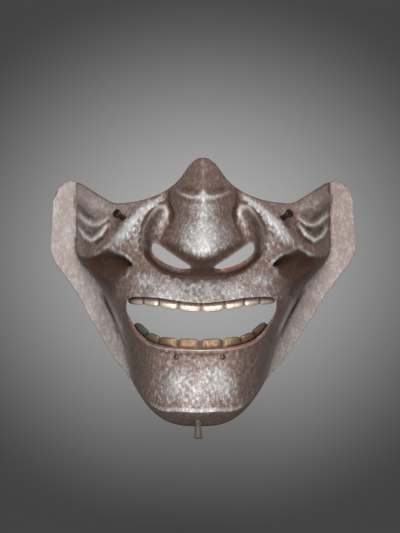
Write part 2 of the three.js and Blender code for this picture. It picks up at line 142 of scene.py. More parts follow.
# The outline and cross-sections by height
LEVELS = table("up foot flange crown square bend fillet", [
    [0, 0.536, 0.06, 1.04, 2.6, 0.5, 0],
    [0.18, 0.538, 0.06, 1, 3, 0.5, 0],
    [0.25, 0.572, 0.45, 0.97, 3.3, 0.5, 0],
    [0.3, 0.6, 0.64, 0.965, 3.5, 0.5, 0],
    [0.36, 0.644, 0.79, 0.98, 3.6, 0.5, 0],
    [0.41, 0.69, 0.9, 0.99, 3.5, 0.5, 0],
    [0.46, 0.742, 0.91, 1, 3.3, 0.5, 0],
    [0.52, 0.8, 1.03, 0.98, 2.6, 0.5, 0],
    [0.57, 0.88, 1.02, 0.95, 2, 0.5, 0],
    [0.61, 0.955, 0.96, 0.93, 1.7, 0.52, 0.004],
    [0.66, 1, 0.92, 0.91, 1.5, 0.56, 0.009],
    [0.73, 1, 0.9, 0.89, 1.4, 0.63, 0.015],
    [0.84, 1, 0.86, 0.84, 1.35, 0.66, 0.018],
    [0.92, 1, 0.86, 0.79, 1.35, 0.66, 0.018],
    [1, 1, 0.86, 0.74, 1.35, 0.66, 0.018],
])

# The upper edge by share of the foot line, from the nose top out to the flange's outer corner
UPPER_EDGE = table("out up", [
    [0, 1],
    [0.045, 0.996],
    [0.1, 0.975],
    [0.135, 0.953],
    [0.175, 0.926],
    [0.22, 0.903],
    [0.28, 0.882],
    [0.36, 0.861],
    [0.48, 0.842],
    [0.6, 0.833],
    [0.7, 0.833],
    [0.82, 0.862],
    [0.93, 0.895],
    [1, 0.911],
    [1.2, 0.916],
    [1.42, 0.912],
    [1.6, 0.902],
    [1.76, 0.886],
    [1.9, 0.865],
    [2, 0.84],
])

# The nose by height
NOSE = table("up half rise round", [
    [0.54, 0.2, 0, 2],
    [0.56, 0.24, 0.05, 2],
    [0.58, 0.29, 0.3, 2],
    [0.6, 0.33, 0.62, 2.3],
    [0.63, 0.35, 0.9, 2.5],
    [0.66, 0.35, 0.99, 2.5],
    [0.7, 0.33, 0.97, 2.4],
    [0.74, 0.3, 0.88, 2.3],
    [0.78, 0.265, 0.79, 2.2],
    [0.82, 0.265, 0.72, 2],
    [0.85, 0.265, 0.68, 1.6],
    [0.88, 0.27, 0.66, 1.4],
    [0.93, 0.27, 0.62, 1.3],
    [1, 0.26, 0.56, 1.3],
])

# The hollow under the cheekbone
CHEEK_HOLLOW = table("across edge reach", [
    [0.55, 0.606, 0.01],
    [0.585, 0.624, 0.05],
    [0.63, 0.641, 0.09],
    [0.69, 0.653, 0.13],
    [0.76, 0.663, 0.16],
    [0.84, 0.642, 0.11],
    [0.93, 0.636, 0.08],
    [1.02, 0.655, 0.06],
])

# Folds, each along its own crest: half width as a share of FACE_HALF, rise as a share of the fold's rise
FOLD = "across up half rise"
NOSTRIL_WING = table(FOLD, [
    [0.3, 0.79, 0.075, 0.8],
    [0.335, 0.755, 0.11, 1],
    [0.355, 0.71, 0.122, 1],
    [0.345, 0.673, 0.13, 1],
    [0.27, 0.635, 0.12, 0.9],
    [0.17, 0.605, 0.09, 0.7],
])
MALAR_RIDGE = table(FOLD, [
    [0.35, 0.856, 0.05, 0.4],
    [0.5, 0.806, 0.06, 1],
    [0.61, 0.754, 0.06, 1],
    [0.7, 0.7, 0.05, 0.9],
    [0.77, 0.665, 0.03, 0.6],
])
UPPER_EAR_FOLD = table(FOLD, [
    [0.99, 0.789, 0.024, 0.8],
    [0.92, 0.76, 0.026, 1],
    [0.87, 0.748, 0.026, 1],
    [0.82, 0.752, 0.024, 0.9],
    [0.755, 0.775, 0.02, 0.4],
])
LOWER_EAR_FOLD = table(FOLD, [
    [0.985, 0.741, 0.024, 0.8],
    [0.93, 0.705, 0.026, 1],
    [0.88, 0.692, 0.026, 1],
    [0.815, 0.712, 0.024, 0.9],
    [0.755, 0.75, 0.018, 0.4],
])
EAR_TOP_FOLD = table(FOLD, [
    [0.98, 0.85, 0.06, 0.6],
    [0.88, 0.82, 0.06, 0.9],
    [0.78, 0.815, 0.05, 0.6],
])
JAW_RIDGE = table(FOLD, [
    [0.72, 0.461, 0.02, 0.5],
    [0.675, 0.41, 0.02, 1],
    [0.625, 0.362, 0.018, 1],
    [0.6, 0.33, 0.012, 0.2],
])
BRIDGE_CREASE = table(FOLD, [
    [0.21, 0.872, 0.02, 0.4],
    [0.15, 0.859, 0.022, 0.8],
    [0.09, 0.851, 0.024, 1],
    [0, 0.852, 0.028, 1],
])
BRIDGE_GROOVE = table(FOLD, [
    [0.21, 0.893, 0.02, 0.3],
    [0.14, 0.879, 0.026, 1],
    [0.05, 0.873, 0.026, 1],
    [0, 0.876, 0.026, 0.6],
])
WING_GROOVE = table(FOLD, [
    [0.29, 0.842, 0.014, 0.5],
    [0.262, 0.825, 0.014, 1],
    [0.252, 0.79, 0.014, 1],
    [0.25, 0.755, 0.016, 0.6],
    [0.255, 0.72, 0.02, 0],
])
UNDER_LIP = table(FOLD, [
    [0, 0.2755, 0.01, 1],
    [0.17, 0.279, 0.01, 1],
    [0.31, 0.287, 0.01, 1],
    [0.415, 0.303, 0.01, 0.9],
    [0.495, 0.332, 0.01, 0.7],
    [0.555, 0.372, 0.01, 0.4],
    [0.59, 0.41, 0.01, 0],
])
MALAR_GROOVE = table(FOLD, [
    [0.37, 0.872, 0.02, 0.2],
    [0.53, 0.822, 0.022, 0.8],
    [0.645, 0.768, 0.022, 1],
    [0.735, 0.712, 0.02, 0.6],
    [0.8, 0.675, 0.016, 0],
])
JAW_GROOVE = table(FOLD, [
    [0.8, 0.5, 0.02, 0.3],
    [0.75, 0.46, 0.02, 1],
    [0.7, 0.41, 0.02, 1],
    [0.66, 0.355, 0.02, 0.5],
])

# The mouth's outline on one side, from the middle of the upper lip round to the middle of the lower lip
MOUTH = table("across up", [
    [0, 0.885],
    [0.29, 0.92],
    [0.565, 0.98],
    [0.77, 1],
    [0.91, 0.995],
    [0.985, 0.94],
    [1, 0.82],
    [0.985, 0.66],
    [0.93, 0.47],
    [0.83, 0.28],
    [0.7, 0.135],
    [0.53, 0.055],
    [0.29, 0.015],
    [0, 0],
])

# One nostril's outline, from its outer end along the upper edge and back along the lower one
NOSTRIL = table("across up", [
    [0.402, 0.655],
    [0.385, 0.681],
    [0.335, 0.672],
    [0.27, 0.651],
    [0.186, 0.623],
    [0.095, 0.596],
    [0.105, 0.581],
    [0.184, 0.577],
    [0.268, 0.589],
    [0.335, 0.606],
    [0.385, 0.63],
])

# Where the posts, the peg and the rivets stand, as shares across and up the face
POST_PLACE = (0.62, 0.775)
PEG_PLACE = (0, 0.02)
RIVET_PLACE = (0.18, (MOUTH_BASE - RIVET_DROP) / FACE_HEIGHT)

# The chin's lower edge, the band under its ledge, its drift, and the height where the grid's rows meet
CHIN_CLIMB = 0.18
CHIN_CURVE = 2.85
BAND_SHARE = 0.054
BAND_FADE = 0.75
BAND_FROM = 0.2
BAND_TO = 0.8
EDGE_SQUARE = 3
DRIFT_END = 0.73
WAIST = 0.66


def ease(x, low=0.0, high=1.0):
    """3t² − 2t³, with t the share of the way from low to high, held between 0 and 1."""
    t = np.clip((x - low) / (high - low), 0, 1)
    return t * t * (3 - 2 * t)


def along(rows, column, at):
    """A table's column at a key: a cubic between two rows, with slopes taken from their neighbours."""
    keys, values = next(iter(rows.values())), rows[column]
    last = len(keys) - 1
    places = np.arange(last + 1)
    before, after = np.maximum(places - 1, 0), np.minimum(places + 1, last)
    slope = (values[after] - values[before]) / (keys[after] - keys[before])
    i = np.clip(np.searchsorted(keys, at) - 1, 0, last - 1)
    span, step = keys[i + 1] - keys[i], values[i + 1] - values[i]
    t = np.clip((at - keys[i]) / span, 0, 1)
    turn = t * (1 - t) * ((1 - t) * (span * slope[i] - step) - t * (span * slope[i + 1] - step))
    return values[i] + step * t + turn


def fold(crest, across, up, dome=False):
    """Rise over a crest line: its own rise times e^−(d/half)², or 1 − (d/half)² for a dome, with d the
    distance from the nearest of its sections."""
    best = np.zeros(np.broadcast(across, up).shape)
    rows = list(zip(*crest.values()))
    for start, end in zip(rows, rows[1:]):
        run_x, run_y = (end[0] - start[0]) * FACE_HALF, (end[1] - start[1]) * FACE_HEIGHT
        off_x, off_y = (across - start[0]) * FACE_HALF, (up - start[1]) * FACE_HEIGHT
        t = np.clip((off_x * run_x + off_y * run_y) / (run_x**2 + run_y**2), 0, 1)
        half = (start[2] + (end[2] - start[2]) * t) * FACE_HALF
        away = np.hypot(off_x - t * run_x, off_y - t * run_y) / half
        fall = np.maximum(1 - away**2, 0) if dome else np.exp(-(away**2))
        best = np.maximum(best, (start[3] + (end[3] - start[3]) * t) * fall)
    return best


def strongest(crests, across, up):
    """The greatest rise of several folds."""
    return np.maximum.reduce([fold(crest, across, up) for crest in crests])


def boss(across, up, place_across, place_up, wide, tall):
    """A soft round boss: e^−(x/wide)² − (y/tall)² about its place."""
    return np.exp(-(((across - place_across) / wide) ** 2) - ((up - place_up) / tall) ** 2)


def foot(up):
    """The foot line's share of FACE_HALF at a height."""
    return along(LEVELS, "foot", up)


def bottom_up(out):
    """The lower edge climbs as a power of the share out."""
    return CHIN_CLIMB * np.minimum(out, 1) ** CHIN_CURVE


def ledge_up(out):
    """The chin's ledge runs a band above the lower edge, narrower towards the sides."""
    return bottom_up(out) + BAND_SHARE * (1 - BAND_FADE * ease(out, BAND_FROM, BAND_TO))


def drift(up):
    """The chin drifts to the guard's left below the cheeks."""
    return -CHIN_DRIFT * (1 - ease(up, 0, DRIFT_END))


# The lips as a fold along the mouth: broad and full above it, narrow below it
on_upper_lip = np.arange(len(MOUTH["up"])) < MOUTH_CORNER
LIP_FOLD = {
    "across": MOUTH["across"] * MOUTH_HALF / FACE_HALF,
    "up": (MOUTH_BASE + MOUTH["up"] * MOUTH_HEIGHT) / FACE_HEIGHT,
    "half": np.where(on_upper_lip, 0.07, 0.022),
    "rise": np.where(on_upper_lip, 1, 0.8),
}


def hammering(across, up):
    """Planishing marks: products of waves at odd angles, a few millimetres long."""
    x, y = across * FACE_HALF, up * FACE_HEIGHT
    waves = np.zeros(np.broadcast(across, up).shape)
    for turn, length, shift in ((0.4, 5.1, 0.3), (1.3, 4.3, 1.9), (2.2, 6.2, 4.1), (2.9, 3.7, 2.6)):
        u = (x * math.cos(turn) + y * math.sin(turn)) / length
        v = (y * math.cos(turn) - x * math.sin(turn)) / length
        waves = waves + np.sin(2 * np.pi * u + shift + 1.3 * np.sin(1.7 * v)) * np.cos(4.1 * v + shift)
    return waves


def below_cheekbone(across, up):
    """How far a place lies under the cheek hollow's upper edge, as a share of the hollow's reach."""
    return (along(CHEEK_HOLLOW, "edge", across) - up) / along(CHEEK_HOLLOW, "reach", across)


def face_rise(side, up, fine):
    """Height of the face over the flanges: crown times the arch (1 − out^square)^bend, softened by
    d / (d + fillet) at the distance d from the foot line, with the nose and its wings set on it, the cheek
    hollow taken off, and a fall to the lower edge below the chin's ledge. Fine adds the narrow folds."""
    across = np.abs(side)
    out = np.minimum(across / foot(up), 1)
    arch = (1 - out ** along(LEVELS, "square", up)) ** along(LEVELS, "bend", up)
    fillet = np.maximum(along(LEVELS, "fillet", up), 0)
    arch = arch * (1 - fillet / (1 - out + fillet + 1e-12))
    nose_side = np.minimum(across / along(NOSE, "half", up), 1)
    nose_height = NOSE_RISE * along(NOSE, "rise", up) * (1 - nose_side ** along(NOSE, "round", up))
    wing_height = NOSTRIL_RISE * fold(NOSTRIL_WING, across, up, dome=True)
    under = below_cheekbone(across, up)
    hollow = ease(under, 0, HOLLOW_FULL) * (1 - ease(under, HOLLOW_FULL, HOLLOW_END))
    hollow = np.where(across > CHEEK_HOLLOW["across"][0], hollow, 0)
    ledge, bottom = ledge_up(out), bottom_up(out)
    band = np.clip((ledge - up) / (ledge - bottom), 0, 1)
    edge = (CROWN - CHIN_DROP) * np.sqrt(1 - out**EDGE_SQUARE)
    rise = CROWN * along(LEVELS, "crown", up) * arch + np.hypot(nose_height, wing_height)
    rise = rise - HOLLOW_DEPTH * hollow * ease(1 - out, 0, HOLLOW_FADE)
    rise = rise + CHIN_BOSS * boss(across, up, *CHIN_PLACE) + CHEEK_BOSS * boss(across, up, *CHEEK_PLACE)
    rise = rise + (np.minimum(edge, rise) - rise) * band
    if fine:
        inside = ease(1 - out, 0, FOLD_FADE)
        top = along(UPPER_EDGE, "up", out)
        ears = fold(UPPER_EAR_FOLD, across, up) + fold(LOWER_EAR_FOLD, across, up)
        rise = rise + MALAR_RISE * fold(MALAR_RIDGE, across, up) * (1 - ease(out, MALAR_FADE, 1))
        rise = rise + EAR_FOLD_RISE * ears * inside
        rise = rise + EAR_FOLD_RISE * fold(EAR_TOP_FOLD, across, up) * ease(top - up, 0, TOP_FADE)
        rise = rise + JAW_RIDGE_RISE * fold(JAW_RIDGE, across, up) * inside
        rise = rise + LIP_RISE * fold(LIP_FOLD, across, up) + CREASE_RISE * fold(BRIDGE_CREASE, across, up)
        grooves = fold(WING_GROOVE, across, up) + 0.6 * fold(BRIDGE_GROOVE, across, up)
        rise = rise - GROOVE_DEPTH * grooves
        rise = rise - UNDER_LIP_DEPTH * (fold(UNDER_LIP, across, up) + fold(MALAR_GROOVE, across, up))
        rise = rise - JAW_RIDGE_RISE * 0.5 * fold(JAW_GROOVE, across, up)
        rise = rise + HAMMER_DEPTH * hammering(side, up) * inside
    return rise


def place(side, up, height):
    """A place in the guard's own frame: the face stands at right angles to the photograph's view, and the
    flanges lean back from it by LEAN, so y = (up − height · sin) / cos."""
    y = (up * FACE_HEIGHT - height * math.sin(LEAN)) / math.cos(LEAN)
    return np.stack(np.broadcast_arrays(side * FACE_HALF + drift(up), y, height), -1)


def unplace(points):
    """The share across and up of points in the guard's own frame: the reverse of place."""
    up = (points[:, 1] * math.cos(LEAN) + points[:, 2] * math.sin(LEAN)) / FACE_HEIGHT
    return (points[:, 0] - drift(up)) / FACE_HALF, up


def row_up(out, row):
    """The share up of a row: rows run down evenly to the waist, the chin's ledge and the lower edge."""
    stops = [along(UPPER_EDGE, "up", out), np.full_like(out, WAIST), ledge_up(out), bottom_up(out)]
    lengths = (UPPER_STEPS, LOWER_STEPS, BAND_STEPS)
    up, left = stops[0], row
    for k, length in enumerate(lengths):
        share = np.clip(left / length, 0, 1)
        up = up + (stops[k + 1] - stops[k]) * share
        left = left - length
    return up


def surface(out, row, fine):
    """The plate's outer surface by share out, past 1 on the flange, and row."""
    size = np.abs(out)
    up = row_up(size, row)
    reach = foot(up) + (size - 1) * along(LEVELS, "flange", up) * FLANGE_WIDTH / FACE_HALF
    side = np.where(size > 1, np.sign(out) * reach, out * foot(up))
    height = np.where(size > 1, WALL, WALL + face_rise(out * foot(up), up, fine))
    return place(side, up, height)


def outward(shape, a, b, step_a, step_b):
    """A surface's direction outwards: the cross product of its slopes along its two parameters."""
    along_a = shape(a + step_a, b) - shape(a - step_a, b)
    along_b = shape(a, b + step_b) - shape(a, b - step_b)
    slope = np.cross(along_a, along_b)
    return slope / np.linalg.norm(slope, axis=-1, keepdims=True)


# Steps for measuring slopes, as a share and in rows
SLOPE_STEP = 0.004
ROW_STEP = 1.0
PLATE_ROWS = UPPER_STEPS + LOWER_STEPS + BAND_STEPS


def inner_surface(out, row):
    """The plate's inside: one wall inside the broad shape along its direction, and flat under the flanges."""
    size = np.abs(out)
    point = surface(out, row, False)
    near = np.clip(row, ROW_STEP, PLATE_ROWS - ROW_STEP)
    direction = outward(lambda a, b: surface(np.clip(a, -1, 1), b, False), out, near, SLOPE_STEP, -ROW_STEP)
    inset = np.where(size == 1, np.sign(out) * WALL, 0)
    under = np.stack([point[..., 0] - inset, point[..., 1], 0 * size], -1)
    return np.where((size < 1)[..., None], point - WALL * direction, under)


def broad_frame(side, up):
    """A place on the broad face, with its direction outwards."""
    def shape(a, b):
        return place(a, b, WALL + face_rise(a, b, False))

    return shape(side, up), outward(shape, side, up, SLOPE_STEP, SLOPE_STEP)


def grid_faces(columns, rows, start, turned):
    """Quads over (columns + 1) × (rows + 1) places that are counted down each column from start."""
    i, j = np.meshgrid(np.arange(columns), np.arange(rows), indexing="ij")
    a = (start + i * (rows + 1) + j).ravel()
    quads = np.stack([a, a + 1, a + rows + 2, a + rows + 1], -1)
    return (quads[:, ::-1] if turned else quads).tolist()


def border(columns, rows):
    """The places round a grid's border, counter-clockwise seen from outside: down, right, up and left."""
    sides = [
        np.stack([np.zeros(rows, int), np.arange(rows)], -1),
        np.stack([np.arange(columns), np.full(columns, rows)], -1),
        np.stack([np.full(rows, columns), rows - np.arange(rows)], -1),
        np.stack([columns - np.arange(columns), np.zeros(columns, int)], -1),
    ]
    return np.concatenate(sides)


def shell(outer, inner, step):
    """A closed shell from an outer grid, an inner grid of every step-th place, and a rim that joins their
    borders. Gives its points, its faces and each face's side: 0 outside, 1 inside, 2 the rim."""
    columns, rows = outer.shape[0] - 1, outer.shape[1] - 1
    start = outer.shape[0] * outer.shape[1]
    front = grid_faces(columns, rows, 0, False)
    back = grid_faces(columns // step, rows // step, start, True)
    loop = border(columns, rows)
    outer_ring = loop[:, 0] * (rows + 1) + loop[:, 1]
    inner_loop = loop[::step] // step
    inner_ring = start + inner_loop[:, 0] * (rows // step + 1) + inner_loop[:, 1]
    corners = np.arange(0, len(loop), step)
    rim = [outer_ring[(corners + k) % len(loop)] for k in range(step, -1, -1)]
    rim += [inner_ring, np.roll(inner_ring, -1)]
    faces = front + back + np.stack(rim, -1).tolist()
    sides = [0] * len(front) + [1] * len(back) + [2] * len(corners)
    return np.concatenate([outer.reshape(-1, 3), inner.reshape(-1, 3)]), faces, sides


def smooth_line(points, closed, steps):
    """A smooth line through points: Catmull-Rom sections of that many steps each."""
    if closed:
        before, after, beyond = np.roll(points, 1, 0), np.roll(points, -1, 0), np.roll(points, -2, 0)
        starts = points
    else:
        starts, after = points[:-1], points[1:]
        before, beyond = np.vstack([points[:1], points[:-2]]), np.vstack([points[2:], points[-1:]])
    t = (np.arange(steps) / steps)[None, :, None]
    p, q, r, s = (line[:, None, :] for line in (before, starts, after, beyond))
    line = 0.5 * (2 * q + (r - p) * t + (2 * p - 5 * q + 4 * r - s) * t**2 + (3 * q - p - 3 * r + s) * t**3)
    line = line.reshape(-1, points.shape[1])
    return line if closed else np.vstack([line, points[-1:]])


def both_sides(rows):
    """A right side's outline and its mirror, as one ring of (across, up)."""
    right = np.stack([rows["across"], rows["up"]], -1)
    left = right[1:-1][::-1] * (-1, 1)
    return np.concatenate([right, left])


# The openings' outlines, and how wide their cut edges show
MOUTH_LINE = smooth_line(both_sides(LIP_FOLD), True, LINE_STEPS)
NOSTRIL_LINE = smooth_line(np.stack([NOSTRIL["across"], NOSTRIL["up"]], -1), True, LINE_STEPS)
LIP_RIM = 1.6
NOSTRIL_RIM = 1.9
NOSTRIL_TILT = 0.2
CUT_BELOW = 3.2
CUT_ABOVE = 0.5

# The guard's place in the row frame, from the solid plate's box: its middle across and its chin edge
plate_low, plate_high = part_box("face_plate")
out_share = np.arange(-FLANGE_STEPS - ACROSS_STEPS, FLANGE_STEPS + ACROSS_STEPS + 1)
out_size = np.abs(out_share)
near_size = out_size / ACROSS_STEPS
out_share = np.sign(out_share) * np.where(
    out_size > ACROSS_STEPS,
    1 + (out_size - ACROSS_STEPS) / FLANGE_STEPS,
    near_size + CROWDING * (1 - (1 - np.minimum(near_size, 1)) ** 2 - near_size),
)
plate_out, plate_row = np.meshgrid(out_share, np.arange(PLATE_ROWS + 1.0), indexing="ij")
plate_outer = surface(plate_out, plate_row, True)
broad = surface(plate_out, plate_row, False).reshape(-1, 3)
SHIFT = np.array([
    (plate_low.x + plate_high.x) / 2 / MM - (broad[:, 0].min() + broad[:, 0].max()) / 2,
    plate_low.y / MM - broad[:, 1].min(),
    0,
])


def new_piece(name, points, faces, materials, sides=None):
    """A mesh object from points in millimetres in the guard's own frame, put into the row frame in metres."""
    mesh = bpy.data.meshes.new(name)
    mesh.from_pydata(((points + SHIFT) * MM).tolist(), [], faces)
    for material in materials:
        mesh.materials.append(material)
    if sides is not None:
        mesh.polygons.foreach_set("material_index", np.array(sides, np.int32))
    mesh.update()
    piece = bpy.data.objects.new(name, mesh)
    bpy.context.scene.collection.objects.link(piece)
    return piece


def own_points(piece):
    """A piece's points in the guard's own frame, in millimetres."""
    points = np.zeros(len(piece.data.vertices) * 3)
    piece.data.vertices.foreach_get("co", points)
    return points.reshape(-1, 3) / MM - SHIFT


def mark(piece, name, values):
    """Puts a value for each point on the mesh, for its material to read."""
    attribute = piece.data.attributes.new(name, "FLOAT", "POINT")
    attribute.data.foreach_set("value", np.asarray(values, np.float32))


def shade(piece, angle):
    """Smooth shading, with edges sharper than the angle in degrees left crisp."""
    piece.data.shade_smooth()
    piece.data.set_sharp_from_angle(angle=math.radians(angle))


# Colours, as plain red, green and blue shares of linear light
DEEP_BROWN = (0.06, 0.027, 0.015, 1)
BLACK_IRON = (0.035, 0.028, 0.024, 1)
RUSSET = (0.13, 0.085, 0.066, 1)
DUSTY_ROSE = (0.30, 0.255, 0.242, 1)
DUSTY_GREY = (0.36, 0.345, 0.335, 1)
WORN_GREY = (0.54, 0.54, 0.54, 1)
DULL_GREY = (0.34, 0.33, 0.325, 1)
HIGHLIGHT_CREAM = (0.62, 0.57, 0.50, 1)
RUST_RED = (0.15, 0.082, 0.06, 1)
LACQUER_RED = (0.30, 0.03, 0.018, 1)
LACQUER_DARK = (0.05, 0.012, 0.01, 1)
TRACE_RED = (0.46, 0.11, 0.085, 1)
PALE_GILT = (0.72, 0.61, 0.50, 1)
GILT_SHADE = (0.075, 0.06, 0.045, 1)
COPPER = (0.21, 0.125, 0.07, 1)
COPPER_SHADE = (0.035, 0.036, 0.027, 1)
VERDIGRIS = (0.055, 0.078, 0.058, 1)
FLOOR_EDGE = (0.018, 0.018, 0.018, 1)
FLOOR_GLOW = (0.4, 0.4, 0.4, 1)


class Net:
    """A node tree with short ways to add nodes, whose inputs are values or the sockets that feed them."""

    def __init__(self, tree):
        self.tree = tree
        self.tree.nodes.clear()

    def add(self, kind, inputs=None, **settings):
        node = self.tree.nodes.new(kind)
        for name, value in settings.items():
            setattr(node, name, value)
        for key, value in (inputs or {}).items():
            if isinstance(value, bpy.types.NodeSocket):
                self.tree.links.new(value, node.inputs[key])
            else:
                node.inputs[key].default_value = value
        return node

    def feed(self, shader, name, value):
        self.tree.links.new(value, shader.inputs[name])

    def math(self, operation, a, b=0.0):
        return self.add("ShaderNodeMath", {0: a, 1: b}, operation=operation).outputs[0]

    def plus(self, base, value, by):
        """base + value · by."""
        return self.math("ADD", base, self.math("MULTIPLY", value, by))

    def around(self, base, value, by):
        """base + (value − 0.5) · by."""
        return self.plus(base, self.math("SUBTRACT", value, 0.5), by)

    def vector(self, operation, a, b=(0, 0, 0)):
        return self.add("ShaderNodeVectorMath", {0: a, 1: b}, operation=operation).outputs

    def mix(self, share, a, b):
        return self.add("ShaderNodeMix", {0: share, 6: a, 7: b}, data_type="RGBA").outputs[2]

    def noise(self, where, scale, detail=3.0, rough=0.6):
        inputs = {"Vector": where, "Scale": scale, "Detail": detail, "Roughness": rough}
        return self.add("ShaderNodeTexNoise", inputs).outputs["Fac"]

    def step(self, value, low, high):
        inputs = {"Value": value, "From Min": low, "From Max": high}
        return self.add("ShaderNodeMapRange", inputs, interpolation_type="SMOOTHSTEP").outputs["Result"]

    def attribute(self, name):
        return self.add("ShaderNodeAttribute", attribute_name=name).outputs["Fac"]

    def place(self):
        return self.add("ShaderNodeTexCoord").outputs["Object"]


def group(name, inputs, outputs):
    """An empty shader group with named float or colour sockets: its tree, input node and output node."""
    tree = bpy.data.node_groups.new(name, "ShaderNodeTree")
    net = Net(tree)
    for label, kind in inputs.items():
        tree.interface.new_socket(label, in_out="INPUT", socket_type="NodeSocket" + kind)
    for label, kind in outputs.items():
        tree.interface.new_socket(label, in_out="OUTPUT", socket_type="NodeSocket" + kind)
    return tree, net, tree.nodes.new("NodeGroupInput"), tree.nodes.new("NodeGroupOutput")


def forge_grain():
    """Fine pitted grain: a height from two noises, bright speckles where it stands up, and broad clouds."""
    inputs = {"Place": "Vector", "Size": "Float"}
    outputs = {"Height": "Float", "Speckle": "Float", "Cloud": "Float"}
    tree, net, given, made = group("forge_grain", inputs, outputs)
    size = given.outputs["Size"]
    where = net.vector("MULTIPLY", given.outputs["Place"], (1, 0.5, 0.8))[0]
    grit = net.noise(where, net.math("DIVIDE", 1.0, size), 4.0, 0.7)
    pits = net.noise(where, net.math("DIVIDE", 0.45, size), 3.0, 0.6)
    cloud = net.noise(where, net.math("DIVIDE", 0.06, size), 4.0, 0.6)
    height = net.plus(net.math("MULTIPLY", grit, 0.55), pits, 0.45)
    net.feed(made, "Height", height)
    net.feed(made, "Speckle", net.step(height, 0.46, 0.62))
    net.feed(made, "Cloud", net.step(cloud, 0.35, 0.65))
    return tree


def new_material(name):
    """A material with a Principled shader: its net and the shader."""
    material = bpy.data.materials.new(name)
    material.use_nodes = True
    net = Net(material.node_tree)
    shader = net.add("ShaderNodeBsdfPrincipled")
    net.add("ShaderNodeOutputMaterial", {"Surface": shader.outputs[0]})
    return material, net, shader


def use_grain(net, size):
    """The grain group's speckle, cloud and height, read at the place on the guard."""
    grain = net.add("ShaderNodeGroup", {"Place": net.place(), "Size": size}, node_tree=GRAIN)
    return [grain.outputs[name] for name in ("Speckle", "Cloud", "Height")]


def bump(net, shader, height, strength, distance):
    """Feeds a height to the shader's normal."""
    inputs = {"Height": height, "Strength": strength, "Distance": distance}
    net.feed(shader, "Normal", net.add("ShaderNodeBump", inputs).outputs[0])


def russet_iron():
    """Embossed iron: brown patina, rubbed grey on the raised forms with painted highlights on the crests and
    lit spots, deep brown patina with painted shade in the hollows and creases, dusty on the flanges with
    painted light on the ear panels, and painted highlights in cream along the rims."""
    material, net, shader = new_material("russet_iron")
    speckle, cloud, height = use_grain(net, 0.0009)
    polish_and_highlight, hollow = net.attribute("polish_and_highlight"), net.attribute("hollow")
    flange, rim = net.attribute("dust_and_painted_light"), net.attribute("rim")
    # Rubbed grey where the raised forms are worn, with painted highlights on the crests and the lit spots
    rubbed = net.step(net.around(net.around(polish_and_highlight, speckle, 0.2), cloud, 0.25), 0.0, 0.8)
    brown = net.mix(cloud, RUSSET, RUST_RED)
    brown = net.mix(net.math("MULTIPLY", speckle, 0.4), brown, DUSTY_ROSE)
    colour = net.mix(rubbed, brown, net.mix(speckle, DULL_GREY, WORN_GREY))
    # Pale dusty flanges; on the ear panels this is painted light, and its thinning on the guard's right is
    # painted shade
    dust_and_painted_light = net.math("MULTIPLY", flange, net.plus(0.55, speckle, 0.4))
    colour = net.mix(dust_and_painted_light, colour, net.mix(cloud, DUSTY_ROSE, DUSTY_GREY))
    # Deep brown patina in the recesses, with painted shade in the creases, under the nose and wings and above
    # the ear folds
    colour = net.mix(net.step(net.around(hollow, speckle, -0.2), 0.0, 1.0), colour, DEEP_BROWN)
    # Painted highlights in cream along the rims and crests
    colour = net.mix(net.math("MULTIPLY", rim, 0.75), colour, HIGHLIGHT_CREAM)
    net.feed(shader, "Base Color", colour)
    net.feed(shader, "Roughness", net.plus(0.58, flange, 0.08))
    net.feed(shader, "Metallic", net.plus(net.plus(0.25, rubbed, 0.1), flange, -0.15))
    bump(net, shader, height, 0.8, 0.0006)
    return material


def red_lacquer():
    """Red lacquer on the inside, darkened and rubbed through to brown in patches."""
    material, net, shader = new_material("red_lacquer")
    speckle, cloud, height = use_grain(net, 0.0025)
    colour = net.mix(cloud, LACQUER_RED, LACQUER_DARK)
    colour = net.mix(net.math("MULTIPLY", speckle, 0.3), colour, LACQUER_DARK)
    net.feed(shader, "Base Color", colour)
    net.feed(shader, "Roughness", net.plus(0.3, speckle, 0.2))
    bump(net, shader, height, 0.25, 0.0006)
    return material


def cut_edge():
    """The plate's cut edges: worn iron with traces of the red lacquer."""
    material, net, shader = new_material("cut_edge")
    speckle, cloud, height = use_grain(net, 0.0016)
    colour = net.mix(speckle, RUSSET, DUSTY_ROSE)
    colour = net.mix(net.math("MULTIPLY", cloud, 0.75), colour, TRACE_RED)
    net.feed(shader, "Base Color", colour)
    shader.inputs["Roughness"].default_value = 0.45
    shader.inputs["Metallic"].default_value = 0.4
    bump(net, shader, height, 0.3, 0.0004)
    return material


def tooth_metal(name, bright, dark, tarnish):
    """Teeth: bright on each tooth's crown, painted shade in the notches and at the roots with a dark tarnish
    line by the free edge, and verdigris by the attribute "green".
    """
    material, net, shader = new_material(name)
    speckle, cloud, height = use_grain(net, 0.0012)
    notch_shade_and_tarnish, green = net.attribute("notch_shade_and_tarnish"), net.attribute("green")
    spread = net.step(net.around(green, cloud, 0.5), 0.2, 0.8)
    colour = net.mix(net.math("MULTIPLY", speckle, tarnish), bright, dark)
    colour = net.mix(spread, colour, VERDIGRIS)
    # Painted shade in the notches and at the roots, and the dark tarnish line by the free edge
    colour = net.mix(net.math("MULTIPLY", notch_shade_and_tarnish, 0.95), colour, dark)
    net.feed(shader, "Base Color", colour)
    net.feed(shader, "Roughness", net.plus(0.46, speckle, 0.15))
    net.feed(shader, "Metallic", net.plus(0.65, spread, -0.5))
    bump(net, shader, height, 0.3, 0.0004)
    return material


